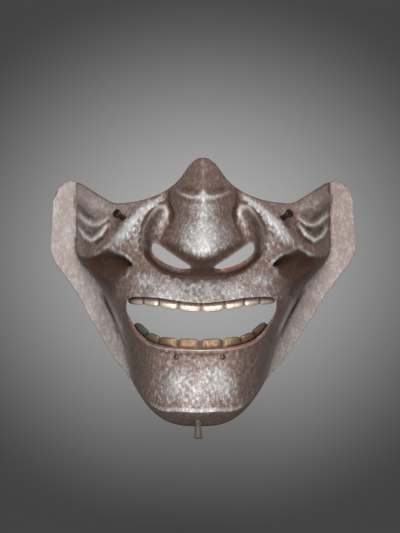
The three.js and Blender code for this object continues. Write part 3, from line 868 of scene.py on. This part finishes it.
def pin_iron(name, low, high, rough, metal):
    """Plain iron of the posts, the peg and the rivets: dark with lighter rubbed grain."""
    material, net, shader = new_material(name)
    speckle, cloud, height = use_grain(net, 0.0009)
    colour = net.mix(speckle, low, high)
    colour = net.mix(net.math("MULTIPLY", cloud, 0.3), colour, low)
    net.feed(shader, "Base Color", colour)
    net.feed(shader, "Roughness", net.plus(rough, speckle, -0.1))
    shader.inputs["Metallic"].default_value = metal
    bump(net, shader, height, 0.25, 0.0003)
    return material


GRAIN = forge_grain()
IRON = russet_iron()
LACQUER = red_lacquer()
EDGE = cut_edge()
GILT = tooth_metal("gilt_copper", PALE_GILT, GILT_SHADE, 0.35)
COPPER_WORN = tooth_metal("worn_copper", COPPER, COPPER_SHADE, 0.5)
DARK_IRON = pin_iron("dark_iron", BLACK_IRON, RUSSET, 0.38, 0.8)
PEG_IRON = pin_iron("peg_iron", RUSSET, DUSTY_ROSE, 0.6, 0.3)


def widened(line, by):
    """A ring of shares moved outwards across the view by so many millimetres, a value for each place."""
    flat = line * (FACE_HALF, FACE_HEIGHT)
    run = np.roll(flat, -1, 0) - np.roll(flat, 1, 0)
    run /= np.linalg.norm(run, axis=1, keepdims=True)
    area = np.sum(flat[:, 0] * np.roll(flat[:, 1], -1) - flat[:, 1] * np.roll(flat[:, 0], -1))
    normal = np.stack([run[:, 1], -run[:, 0]], -1) * np.sign(area)
    return (flat + normal * by[:, None]) / (FACE_HALF, FACE_HEIGHT)


def cutter(line, inset):
    """A closed block that cuts an opening: its ring is drawn in by inset inside the plate, so that the cut
    edge between it and the outer face shows from the front."""
    inner = widened(line, -inset)
    under = WALL + face_rise(inner[:, 0], inner[:, 1], True) - CUT_BELOW
    over = WALL + face_rise(line[:, 0], line[:, 1], True) + CUT_ABOVE
    low, high = np.full_like(under, 0.2 * CROWN), np.full_like(over, CROWN + 2 * NOSE_RISE)
    rings = [(inner, low), (inner, under), (line, over), (line, high)]
    points = np.concatenate([place(ring[:, 0], ring[:, 1], height) for ring, height in rings])
    count = len(line)
    level, start = np.meshgrid(np.arange(len(rings) - 1) * count, np.arange(count), indexing="ij")
    after = (start + 1) % count
    walls = np.stack([level + start, level + after, level + after + count, level + start + count], -1)
    last = count * (len(rings) - 1)
    return points, [list(range(count))[::-1], list(range(last, last + count))] + walls.reshape(-1, 4).tolist()


def pin_frame(spot, sign, layers):
    """A pin's place on the outer face, its direction outwards, and the depth of the plate and its layers."""
    side, up = np.array(sign * spot[0], float), np.array(spot[1], float)
    point, direction = broad_frame(side, up)
    outside = place(side, up, WALL + face_rise(side, up, True))
    return outside, direction, float((outside - point) @ direction) + WALL + layers


def turned(profile, outside, direction, sides):
    """A profile of (radius, distance along) turned about a pin's direction, as points and faces."""
    profile = np.array(profile, float)
    across = np.cross(direction, (0, 0, 1.0) if abs(direction[2]) < 0.9 else (1.0, 0, 0))
    across /= np.linalg.norm(across)
    beside = np.cross(direction, across)
    angle = np.arange(sides) * 2 * np.pi / sides
    ring = np.cos(angle)[:, None] * across + np.sin(angle)[:, None] * beside
    points = outside + profile[None, :, 0, None] * ring[:, None, :] + profile[None, :, 1, None] * direction
    count = len(profile)
    i, j = np.meshgrid(np.arange(sides), np.arange(count - 1), indexing="ij")
    a, b = i * count + j, (i + 1) % sides * count + j
    return points.reshape(-1, 3), np.stack([a, b, b + 1, a + 1], -1).reshape(-1, 4).tolist()


def weld(piece):
    """Closes the seams and poles of a turned piece, and points its faces outwards."""
    sheet = bmesh.new()
    sheet.from_mesh(piece.data)
    bmesh.ops.remove_doubles(sheet, verts=sheet.verts, dist=1e-6)
    bmesh.ops.recalc_face_normals(sheet, faces=sheet.faces)
    sheet.to_mesh(piece.data)
    sheet.free()


def joined(parts):
    """Several lists of points and faces as one."""
    points, faces, start = [], [], 0
    for part_points, part_faces in parts:
        points.append(part_points)
        faces += [[start + k for k in face] for face in part_faces]
        start += len(part_points)
    return np.concatenate(points), faces


post_frames = [pin_frame(POST_PLACE, sign, 0) for sign in (-1, 1)]
peg_frame = pin_frame(PEG_PLACE, 1, 0)
rivet_frames = [pin_frame(RIVET_PLACE, sign, STRIP_SEAT + STRIP_THICKNESS) for sign in (-1, 1)]


def pin_hole(spot, radius):
    """A round bar that cuts a pin's hole."""
    outside, direction, depth = spot
    reach = 2 * depth
    bar = [(0, -reach), (radius + CLEARANCE, -reach), (radius + CLEARANCE, reach), (0, reach)]
    return turned(bar, outside, direction, 32)


def cut_through(piece, parts, name):
    """Cuts closed blocks out of a piece and drops the blocks."""
    points, faces = joined(parts)
    block = new_piece(name, points, faces, list(piece.data.materials)[-1:])
    weld(block)
    modifier = piece.modifiers.new("openings", "BOOLEAN")
    modifier.operation = "DIFFERENCE"
    modifier.solver = "MANIFOLD"
    modifier.object = block
    depsgraph = bpy.context.evaluated_depsgraph_get()
    cut = bpy.data.meshes.new_from_object(piece.evaluated_get(depsgraph))
    piece.modifiers.clear()
    old = piece.data
    piece.data = cut
    bpy.data.meshes.remove(old)
    cut.name = piece.name
    bpy.data.objects.remove(block)


# Painted highlights along the wings' crescents, and places painted deep brown as shade
WING_HIGHLIGHT = table(FOLD, [
    [0.275, 0.755, 0.008, 0.4],
    [0.28, 0.795, 0.01, 0.9],
    [0.3, 0.818, 0.016, 1],
    [0.35, 0.816, 0.016, 0.8],
    [0.413, 0.786, 0.01, 0.4],
    [0.464, 0.738, 0.008, 0.3],
    [0.479, 0.682, 0.007, 0.25],
    [0.46, 0.626, 0.007, 0.15],
    [0.397, 0.589, 0.007, 0.05],
])
PAINTED_SHADE_PLACES = table(FOLD, [
    [0.96, 0.62, 0.03, 0.5],
    [0.88, 0.6, 0.05, 1],
    [0.79, 0.56, 0.09, 1],
    [0.72, 0.53, 0.07, 0.8],
    [0.7, 0.49, 0.03, 0.6],
])
WING_SHADE = table(FOLD, [
    [0.36, 0.79, 0.03, 0.5],
    [0.41, 0.75, 0.045, 0.8],
    [0.43, 0.7, 0.05, 0.9],
    [0.42, 0.64, 0.045, 1],
    [0.36, 0.605, 0.04, 0.9],
    [0.2, 0.578, 0.035, 1],
    [0, 0.582, 0.05, 1],
])
NOSE_SHADE = table(FOLD, [
    [0.4, 0.71, 0.03, 0.5],
    [0.32, 0.69, 0.035, 0.8],
    [0.2, 0.65, 0.045, 1],
    [0.1, 0.62, 0.05, 1],
    [0, 0.605, 0.06, 1],
])
BRIDGE_SHADE = table(FOLD, [
    [0.21, 0.892, 0.02, 0.3],
    [0.14, 0.882, 0.03, 0.8],
    [0.06, 0.876, 0.022, 0.7],
    [0, 0.88, 0.015, 0.2],
])
BRIDGE_LIGHT = table(FOLD, [
    [0.2, 0.872, 0.009, 0.5],
    [0.14, 0.859, 0.01, 0.9],
    [0.08, 0.8515, 0.01, 1],
    [0.04, 0.855, 0.012, 0.8],
    [0, 0.863, 0.03, 1],
])
EAR_SHADE = table(FOLD, [
    [0.985, 0.825, 0.02, 0.6],
    [0.92, 0.79, 0.03, 0.9],
    [0.86, 0.772, 0.03, 0.9],
    [0.8, 0.774, 0.02, 0.3],
])
LOBE_SHADE = table(FOLD, [
    [0.96, 0.742, 0.018, 0.6],
    [0.915, 0.725, 0.022, 1],
    [0.87, 0.715, 0.022, 0.9],
    [0.82, 0.73, 0.018, 0.4],
])
EAR_LIGHT = table(FOLD, [
    [0.985, 0.787, 0.012, 0.9],
    [0.92, 0.758, 0.014, 0.9],
    [0.87, 0.747, 0.014, 0.7],
    [0.82, 0.752, 0.012, 0.5],
    [0.77, 0.768, 0.012, 0.2],
])
LOBE_LIGHT = table(FOLD, [
    [0.975, 0.737, 0.012, 0.7],
    [0.93, 0.704, 0.012, 0.9],
    [0.88, 0.692, 0.012, 1],
    [0.815, 0.712, 0.012, 0.7],
    [0.765, 0.745, 0.012, 0.3],
])
MALAR_LIGHT = table(FOLD, [
    [0.33, 0.846, 0.03, 0.6],
    [0.47, 0.79, 0.05, 1],
    [0.57, 0.742, 0.06, 1],
    [0.66, 0.692, 0.055, 0.9],
    [0.71, 0.665, 0.03, 0.5],
])
FOOT_SHADE = table(FOLD, [
    [0.8, 0.5, 0.012, 0.6],
    [0.742, 0.46, 0.014, 1],
    [0.69, 0.41, 0.014, 1],
    [0.65, 0.355, 0.014, 0.8],
    [0.6, 0.3, 0.012, 0.3],
])

# Rubbed places of the face, rubbed grey and partly painted highlights where the nose, the upper lip and the
# chin face the light, with the size of each and how strong it is
RUBBED_AND_HIGHLIGHT = table("across up wide tall share", [
    [0, 0.695, 0.19, 0.075, 0.75],
    [0, 0.80, 0.12, 0.05, 0.35],
    [0, 0.508, 0.45, 0.035, 0.75],
    [0.42, 0.54, 0.16, 0.04, 0.5],
    [0.48, 0.7, 0.1, 0.08, 0.4],
    [0.15, 0.165, 0.15, 0.075, 0.55],
    [0, 0.14, 0.16, 0.07, 0.45],
    [0, 0.235, 0.2, 0.02, 0.35],
])


# How near an opening's outline the painted highlight along its rim shows, as a share, and how far off a
# point's neighbours lie
RIM_HALF = 0.012
NEIGHBOUR = 2.6


def bulge_at(side, up):
    """How far the face stands over the mean of its neighbourhood, less where it is steep."""
    step_x, step_y = NEIGHBOUR / FACE_HALF, NEIGHBOUR / FACE_HEIGHT
    here = face_rise(side, up, True)
    left, right = face_rise(side - step_x, up, True), face_rise(side + step_x, up, True)
    below, above = face_rise(side, up - step_y, True), face_rise(side, up + step_y, True)
    steep = ((right - left) ** 2 + (above - below) ** 2) / (2 * NEIGHBOUR) ** 2
    return (here - (left + right + below + above) / 4) / (1 + steep)


def near_line(line_across, line_up, across, up):
    """1 on an outline, falling off within RIM_HALF."""
    count = len(line_up)
    rim = {"across": line_across, "up": line_up, "half": np.full(count, RIM_HALF), "rise": np.ones(count)}
    return fold(rim, across, up)


def dust_and_painted_light_at(side, out, up):
    """Pale dusty grey on the flanges and under the eyes, and on the ear panels as painted light that evens
    out their shade; thinner on the guard's right as painted shade.
    """
    right = ease(side, 0, 1)
    ear = ease(out, 0.62, 0.82) * ease(up, 0.63, 0.8)
    eye = 0.5 * ease(out, 0.4, 0.55) * ease(up, 0.76, 0.8)
    dust_and_painted_light = np.maximum(ease(out, 0.9, 1.02), np.maximum(ear, eye))
    return dust_and_painted_light * (1 - right * (0.2 + 0.35 * ease(up, 0.55, 0.75)))


def face_marks(piece):
    """Masks for the iron, worked out from each point's place on the face: polish_and_highlight, rubbed wear
    where the point stands over its neighbourhood with painted highlights from the tables; hollow, deep brown
    patina where it lies under its neighbourhood with painted shade from the tables; rim, painted highlights
    near the openings' outlines and on the crests."""
    side, up = unplace(own_points(piece))
    across = np.abs(side)
    out = across / foot(up)
    bulge, dust_and_painted_light = bulge_at(side, up), dust_and_painted_light_at(side, out, up)
    face = 1 - ease(out, 0.985, 1.02)
    shaded = strongest([WING_SHADE, NOSE_SHADE], across, up)
    folds_shade = strongest([EAR_SHADE, LOBE_SHADE, BRIDGE_SHADE], across, up)
    folds_light = strongest([EAR_LIGHT, LOBE_LIGHT], across, up)
    folds_light = np.maximum(folds_light, 0.8 * fold(JAW_RIDGE, across, up))
    wing_highlight, bridge_highlight = fold(WING_HIGHLIGHT, across, up), fold(BRIDGE_LIGHT, across, up)

    # Rubbed grey spots that are partly painted highlights, painted highlights along the wing crescents, the
    # bridge crease, the malar ridges, the ear folds and the jaw ridge, and rubbed wear where the face stands
    # out
    spots = np.zeros(len(up))
    for *spot, share in zip(*RUBBED_AND_HIGHLIGHT.values()):
        spots = np.maximum(spots, share * boss(across, up, *spot))
    highlight_lines = 0.5 * wing_highlight + 0.5 * bridge_highlight
    highlight_lines = highlight_lines + 0.75 * fold(MALAR_LIGHT, across, up, dome=True) + 0.6 * folds_light
    raised = np.clip(bulge / 0.6, 0, 1) * 0.5 * (1 - shaded) * (1 - 0.8 * ease(up, 0.86, 0.9))

    # hollow: deep brown patina in the recesses, with painted shade under the cheekbone, along the foot
    # crease, under the nose and wings, above the ear folds and by the bridge crease, and darker along the
    # upper edge
    under = below_cheekbone(across, up)
    under_cheek = np.where(across > 0.59, ease(under, -0.02, 0.15) * (1 - ease(under, 0.6, 1.6)), 0) * face
    patina_and_painted_shade = np.maximum(fold(PAINTED_SHADE_PLACES, across, up), 0.8 * under_cheek)
    patina_and_painted_shade = np.maximum(np.clip(-bulge / 0.5, 0, 1), patina_and_painted_shade)
    patina_and_painted_shade = np.maximum(patina_and_painted_shade * face, fold(FOOT_SHADE, across, up))
    patina_and_painted_shade = patina_and_painted_shade * (1 - 0.6 * dust_and_painted_light * (up > 0.7))
    patina_and_painted_shade = np.maximum(patina_and_painted_shade, np.maximum(0.85 * shaded, 0.7 * folds_shade * face))
    top_line = 1 - ease(along(UPPER_EDGE, "up", out) - up, 0.002, 0.007)
    patina_and_painted_shade = np.maximum(patina_and_painted_shade, 0.6 * top_line * face)

    low, high = MOUTH_BASE + 0.1 * MOUTH_HEIGHT, MOUTH_BASE + 0.5 * MOUTH_HEIGHT
    below_mouth = 1 - ease(up * FACE_HEIGHT, low, high)
    nostril = [np.append(NOSTRIL[name], NOSTRIL[name][0]) for name in ("across", "up")]
    # rim: painted highlights in cream along the lower lip and the nostrils, on the wing crescents, the ear
    # fold crests, the jaw ridge and the bridge crease
    rim = 0.7 * near_line(LIP_FOLD["across"], LIP_FOLD["up"], across, up) * below_mouth
    rim = rim + 0.3 * near_line(*nostril, across, up) + wing_highlight + 0.5 * folds_light + 0.45 * bridge_highlight
    mark(piece, "polish_and_highlight", np.clip(spots + highlight_lines + raised, 0, 1) * face)
    mark(piece, "hollow", patina_and_painted_shade)
    mark(piece, "dust_and_painted_light", dust_and_painted_light)
    mark(piece, "rim", np.clip(rim, 0, 1))


def face_plate():
    """The embossed plate with the mouth, the nostrils and the pin holes cut through."""
    inner = inner_surface(plate_out[::2, ::2], plate_row[::2, ::2])
    points, faces, sides = shell(plate_outer, inner, 2)
    piece = new_piece("face_plate_fine", points, faces, [IRON, LACQUER, EDGE], sides)
    low, high = MOUTH_BASE + 0.45 * MOUTH_HEIGHT, MOUTH_BASE + 0.8 * MOUTH_HEIGHT
    openings = [cutter(MOUTH_LINE, LIP_RIM * (1 - ease(MOUTH_LINE[:, 1] * FACE_HEIGHT, low, high)))]
    for line in (NOSTRIL_LINE, NOSTRIL_LINE[::-1] * (-1, 1)):
        under = 1 - ease(line[:, 1] - NOSTRIL_TILT * (np.abs(line[:, 0]) - 0.25), 0.58, 0.64)
        openings.append(cutter(line, NOSTRIL_RIM * under))
    holes = [pin_hole(spot, POST_RADIUS) for spot in post_frames] + [pin_hole(peg_frame, PEG_RADIUS)]
    holes += [pin_hole(spot, RIVET_RADIUS) for spot in rivet_frames]
    cut_through(piece, openings + holes, "openings")
    face_marks(piece)
    shade(piece, 40)
    return piece


def teeth(name, lip, turn, lap, show, fall, root, material, greens):
    """A strip of teeth along a lip: rows run from behind the plate out past the lip, each tooth swells by a
    product of two rounded profiles, and the free edge draws back at the notches."""
    right = np.stack([lip["across"] * FACE_HALF, lip["up"] * FACE_HEIGHT], -1)
    line = smooth_line(np.concatenate([right[::-1] * (-1, 1), right[1:]]), False, 24)
    length = np.concatenate([[0], np.cumsum(np.hypot(*np.diff(line, axis=0).T))])
    half = len(TOOTH_EDGES) - 1
    count = np.abs(np.linspace(-half, half, 2 * half * TOOTH_STEPS + 1))
    tooth = np.minimum(count.astype(int), half - 1)
    within = count - tooth
    reach = TOOTH_EDGES[tooth] + (TOOTH_EDGES[tooth + 1] - TOOTH_EDGES[tooth]) * within
    reach = np.sign(np.linspace(-1, 1, len(count))) * reach
    at = (1 + reach) / 2 * length[-1]
    spot = np.stack([np.interp(at, length, line[:, k]) for k in (0, 1)], -1)
    run = np.stack([np.interp(at, length, np.gradient(line[:, k], length)) for k in (0, 1)], -1)
    run /= np.linalg.norm(run, axis=1, keepdims=True)
    off_middle = np.abs(2 * within - 1)
    free = show * (1 - fall * np.abs(reach) ** 3) - TOOTH_NOTCH * off_middle**4
    share = np.linspace(0, 1, DEPTH_STEPS + 1)[None, :]
    offset = turn * (-lap + (lap + free[:, None]) * share)
    shown = np.clip((offset * turn) / free[:, None], -1, 1)
    side = (spot[:, :1] - run[:, 1:] * offset) / FACE_HALF
    up = (spot[:, 1:] + run[:, :1] * offset) / FACE_HEIGHT
    point, direction = broad_frame(side, up)
    profile = ease(shown, -0.2, 0.5) * np.sqrt(np.clip(1 - (np.clip(shown - 0.55, 0, 1) / 0.45) ** 2, 0, 1))
    swell = TOOTH_BULGE * (1 - off_middle**3)[:, None] * profile
    seat = WALL + STRIP_SEAT
    outer = point + direction * (swell - seat)[..., None]
    inner = point - direction * (seat + STRIP_THICKNESS)
    # Painted shade in the notches between the teeth and at the root by the lip, and a dark tarnish line by
    # the free edge
    notch_shade_and_tarnish = np.exp(-(((1 - off_middle) / 0.16) ** 2))[:, None]
    notch_shade_and_tarnish = np.maximum(notch_shade_and_tarnish, root * (1 - ease(shown, 0.3, 0.42)))
    notch_shade_and_tarnish = np.maximum(notch_shade_and_tarnish, 0.7 * root * ease(shown, 0.92, 0.98))
    green = np.zeros_like(side)
    for centre, wide, strength in greens:
        green = np.maximum(green, strength * np.exp(-(((reach[:, None] - centre) / wide) ** 2)))
    if turn > 0:
        outer, inner, notch_shade_and_tarnish, green = outer[:, ::-1], inner[:, ::-1], notch_shade_and_tarnish[:, ::-1], green[:, ::-1]
    points, faces, _ = shell(outer, inner, 1)
    piece = new_piece(name, points, faces, [material])
    mark(piece, "notch_shade_and_tarnish", np.tile(notch_shade_and_tarnish.ravel(), 2))
    mark(piece, "green", np.tile(green.ravel(), 2))
    shade(piece, 50)
    return piece


def rows_of(rows, first, last=None):
    """A copied slice of a table."""
    return {name: values[first:last].copy() for name, values in rows.items()}


def pin(name, spot, radius, tail, profile, material):
    """A headed pin: a flat tail inside the plate, a shank, and the outer profile."""
    outside, direction, depth = spot
    back = -depth - CLEARANCE
    end, bevel = back - HEAD_THICKNESS, back - HEAD_THICKNESS * 0.8
    inside = [(0, end), (tail * 0.9, end), (tail, bevel), (tail, back), (radius, back)]
    points, faces = turned(inside + profile, outside, direction, 40)
    piece = new_piece(name, points, faces, [material])
    weld(piece)
    shade(piece, 35)
    return piece


def rounded_head(radius, low, high, by):
    """A head's profile with its edges rounded off, from low to high along the pin."""
    turn = np.linspace(0, np.pi / 2, 5)
    under = [(radius - by + by * math.sin(t), low + by - by * math.cos(t)) for t in turn]
    over = [(radius - by + by * math.cos(t), high - by + by * math.sin(t)) for t in turn]
    return under + over + [(0, high)]


def pins(name, slot, frames, sizes, material):
    """One pin, or a left and a right one, each with its node's name and slot."""
    for side, spot in zip(["_left", "_right"] if len(frames) == 2 else [""], frames):
        yield pin(name + side + "_fine", spot, *sizes, material), name + side, slot


POST_PROFILE = [
    (POST_RADIUS, POST_LENGTH - 3 * HEAD_THICKNESS),
    (POST_RADIUS * 1.1, POST_LENGTH - 2 * HEAD_THICKNESS),
    *rounded_head(POST_HEAD, POST_LENGTH - 1.4 * HEAD_THICKNESS, POST_LENGTH, 0.35),
]
PEG_PROFILE = [
    (PEG_RADIUS * 0.97, 2),
    (PEG_RADIUS * 0.95, 5),
    (PEG_RADIUS, PEG_LENGTH - 3 * HEAD_THICKNESS),
    *rounded_head(PEG_HEAD, PEG_LENGTH - 1.2 * HEAD_THICKNESS, PEG_LENGTH, 0.5),
]
dome_turn = np.linspace(0, np.pi / 2, 7)[1:-1]
RIVET_PROFILE = [
    (RIVET_RADIUS, RIVET_SEAT),
    (RIVET_HEAD, RIVET_SEAT),
    *[(RIVET_HEAD * math.cos(t), RIVET_SEAT + RIVET_DOME * math.sin(t)) for t in dome_turn],
    (0, RIVET_SEAT + RIVET_DOME),
]

# The lips that the strips follow: the upper one runs on level past the mouth's corner
UPPER_LIP = rows_of(LIP_FOLD, 0, MOUTH_CORNER)
UPPER_LIP["across"][-1] += 0.02
UPPER_LIP["up"][-1] = UPPER_LIP["up"][-2]
LOWER_LIP = {name: values[::-1] for name, values in rows_of(LIP_FOLD, MOUTH_CORNER + 2).items()}

# Each strip: its lip, side of the lip, lap, show, end fall, painted shade at the root, metal and green places
UPPER_STRIP = (UPPER_LIP, -1, UPPER_LAP, UPPER_SHOW, UPPER_FALL, 0.3, GILT, [(-1, 0.12, 0.6)])
LOWER_GREEN = [(-1, 0.3, 0.9), (1, 0.15, 0.5)]
LOWER_STRIP = (LOWER_LIP, 1, LOWER_LAP, LOWER_SHOW, LOWER_FALL, 1.0, COPPER_WORN, LOWER_GREEN)

pieces = [
    (face_plate(), "face_plate", "russet_iron"),
    (teeth("upper_teeth_fine", *UPPER_STRIP), "upper_teeth", "gilt_copper"),
    (teeth("lower_teeth_fine", *LOWER_STRIP), "lower_teeth", "worn_copper"),
    *pins("cord_post", "dark_iron", post_frames, (POST_RADIUS, POST_HEAD, POST_PROFILE), DARK_IRON),
    *pins("chin_peg", "peg_iron", [peg_frame], (PEG_RADIUS, PEG_HEAD, PEG_PROFILE), PEG_IRON),
    *pins("lip_rivet", "dark_iron", rivet_frames, (RIVET_RADIUS, RIVET_HEAD, RIVET_PROFILE), DARK_IRON),
]
for piece, node, slot in pieces:
    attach(piece, "root")
    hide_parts(node)


def floor():
    """A plain dark grey floor that glows softly brighter towards the guard by its own emission: painted light
    in place of a lit studio sweep.
    """
    half, middle, squash, reach = 4.0, (0, 0.042, 0), (0.92, 1, 1), 0.182
    mesh = bpy.data.meshes.new("floor")
    corners = [(-half, -half, 0), (half, -half, 0), (half, half, 0), (-half, half, 0)]
    mesh.from_pydata(corners, [], [(0, 1, 2, 3)])
    material, net, shader = new_material("floor")
    mesh.materials.append(material)
    away = net.vector("MULTIPLY", net.vector("SUBTRACT", net.place(), middle)[0], squash)[0]
    glow = net.step(net.vector("LENGTH", away)["Value"], reach, 0.0)
    shader.inputs["Base Color"].default_value = (0.02, 0.02, 0.02, 1)
    shader.inputs["Roughness"].default_value = 0.9
    shader.inputs["Specular IOR Level"].default_value = 0.1
    shader.inputs["Emission Strength"].default_value = 1.0
    # Painted light: the emission glows brightest round the guard and lights the floor seen through the
    # openings
    net.feed(shader, "Emission Color", net.mix(glow, FLOOR_EDGE, FLOOR_GLOW))
    piece = bpy.data.objects.new("floor", mesh)
    bpy.context.scene.collection.objects.link(piece)


def soft_light(name, where, target, size, power):
    """A square soft light aimed at a point."""
    light = bpy.data.lights.new(name, "AREA")
    light.shape = "RECTANGLE"
    light.size, light.size_y = size
    light.energy = power
    holder = bpy.data.objects.new(name, light)
    holder.location = where
    holder.rotation_euler = (Vector(target) - Vector(where)).to_track_quat("-Z", "Y").to_euler()
    bpy.context.scene.collection.objects.link(holder)


def camera():
    """The photograph's view: straight at the face, 0.6 mm to a pixel, from far off."""
    distance, pixel, picture_height = 8.0, 0.6 * MM, 533
    aside, above, before = -0.0018, 0.0343, 0.055
    view_up = Vector((0, math.cos(LEAN), math.sin(LEAN)))
    back = Vector((0, -math.sin(LEAN), math.cos(LEAN)))
    target = Vector((aside, 0, 0)) + view_up * above + back * before
    lens = bpy.data.cameras.new("camera")
    lens.sensor_width = 36
    lens.lens = lens.sensor_width * distance / (pixel * picture_height)
    holder = bpy.data.objects.new("camera", lens)
    turn = Matrix(((1, 0, 0), view_up, back)).transposed()
    holder.matrix_world = Matrix.Translation(target + back * distance) @ turn.to_4x4()
    bpy.context.scene.collection.objects.link(holder)
    bpy.context.scene.camera = holder


floor()
soft_light("front_light", (-0.05, 0.1, 1.5), (0, 0, 0.05), (1.0, 1.0), 24)
soft_light("top_light", (0.1, 0.9, 0.9), (0, 0, 0.05), (0.8, 0.5), 9)
soft_light("low_light", (0.0, -1.1, 0.5), (0, 0, 0.05), (0.9, 0.5), 6)
world = bpy.data.worlds.new("studio")
world.use_nodes = True
studio = Net(world.node_tree)
air = studio.add("ShaderNodeBackground", {"Color": (0.5, 0.5, 0.5, 1), "Strength": 0.5})
studio.add("ShaderNodeOutputWorld", {"Surface": air.outputs[0]})
bpy.context.scene.world = world
bpy.context.scene.view_settings.view_transform = "Standard"
camera()
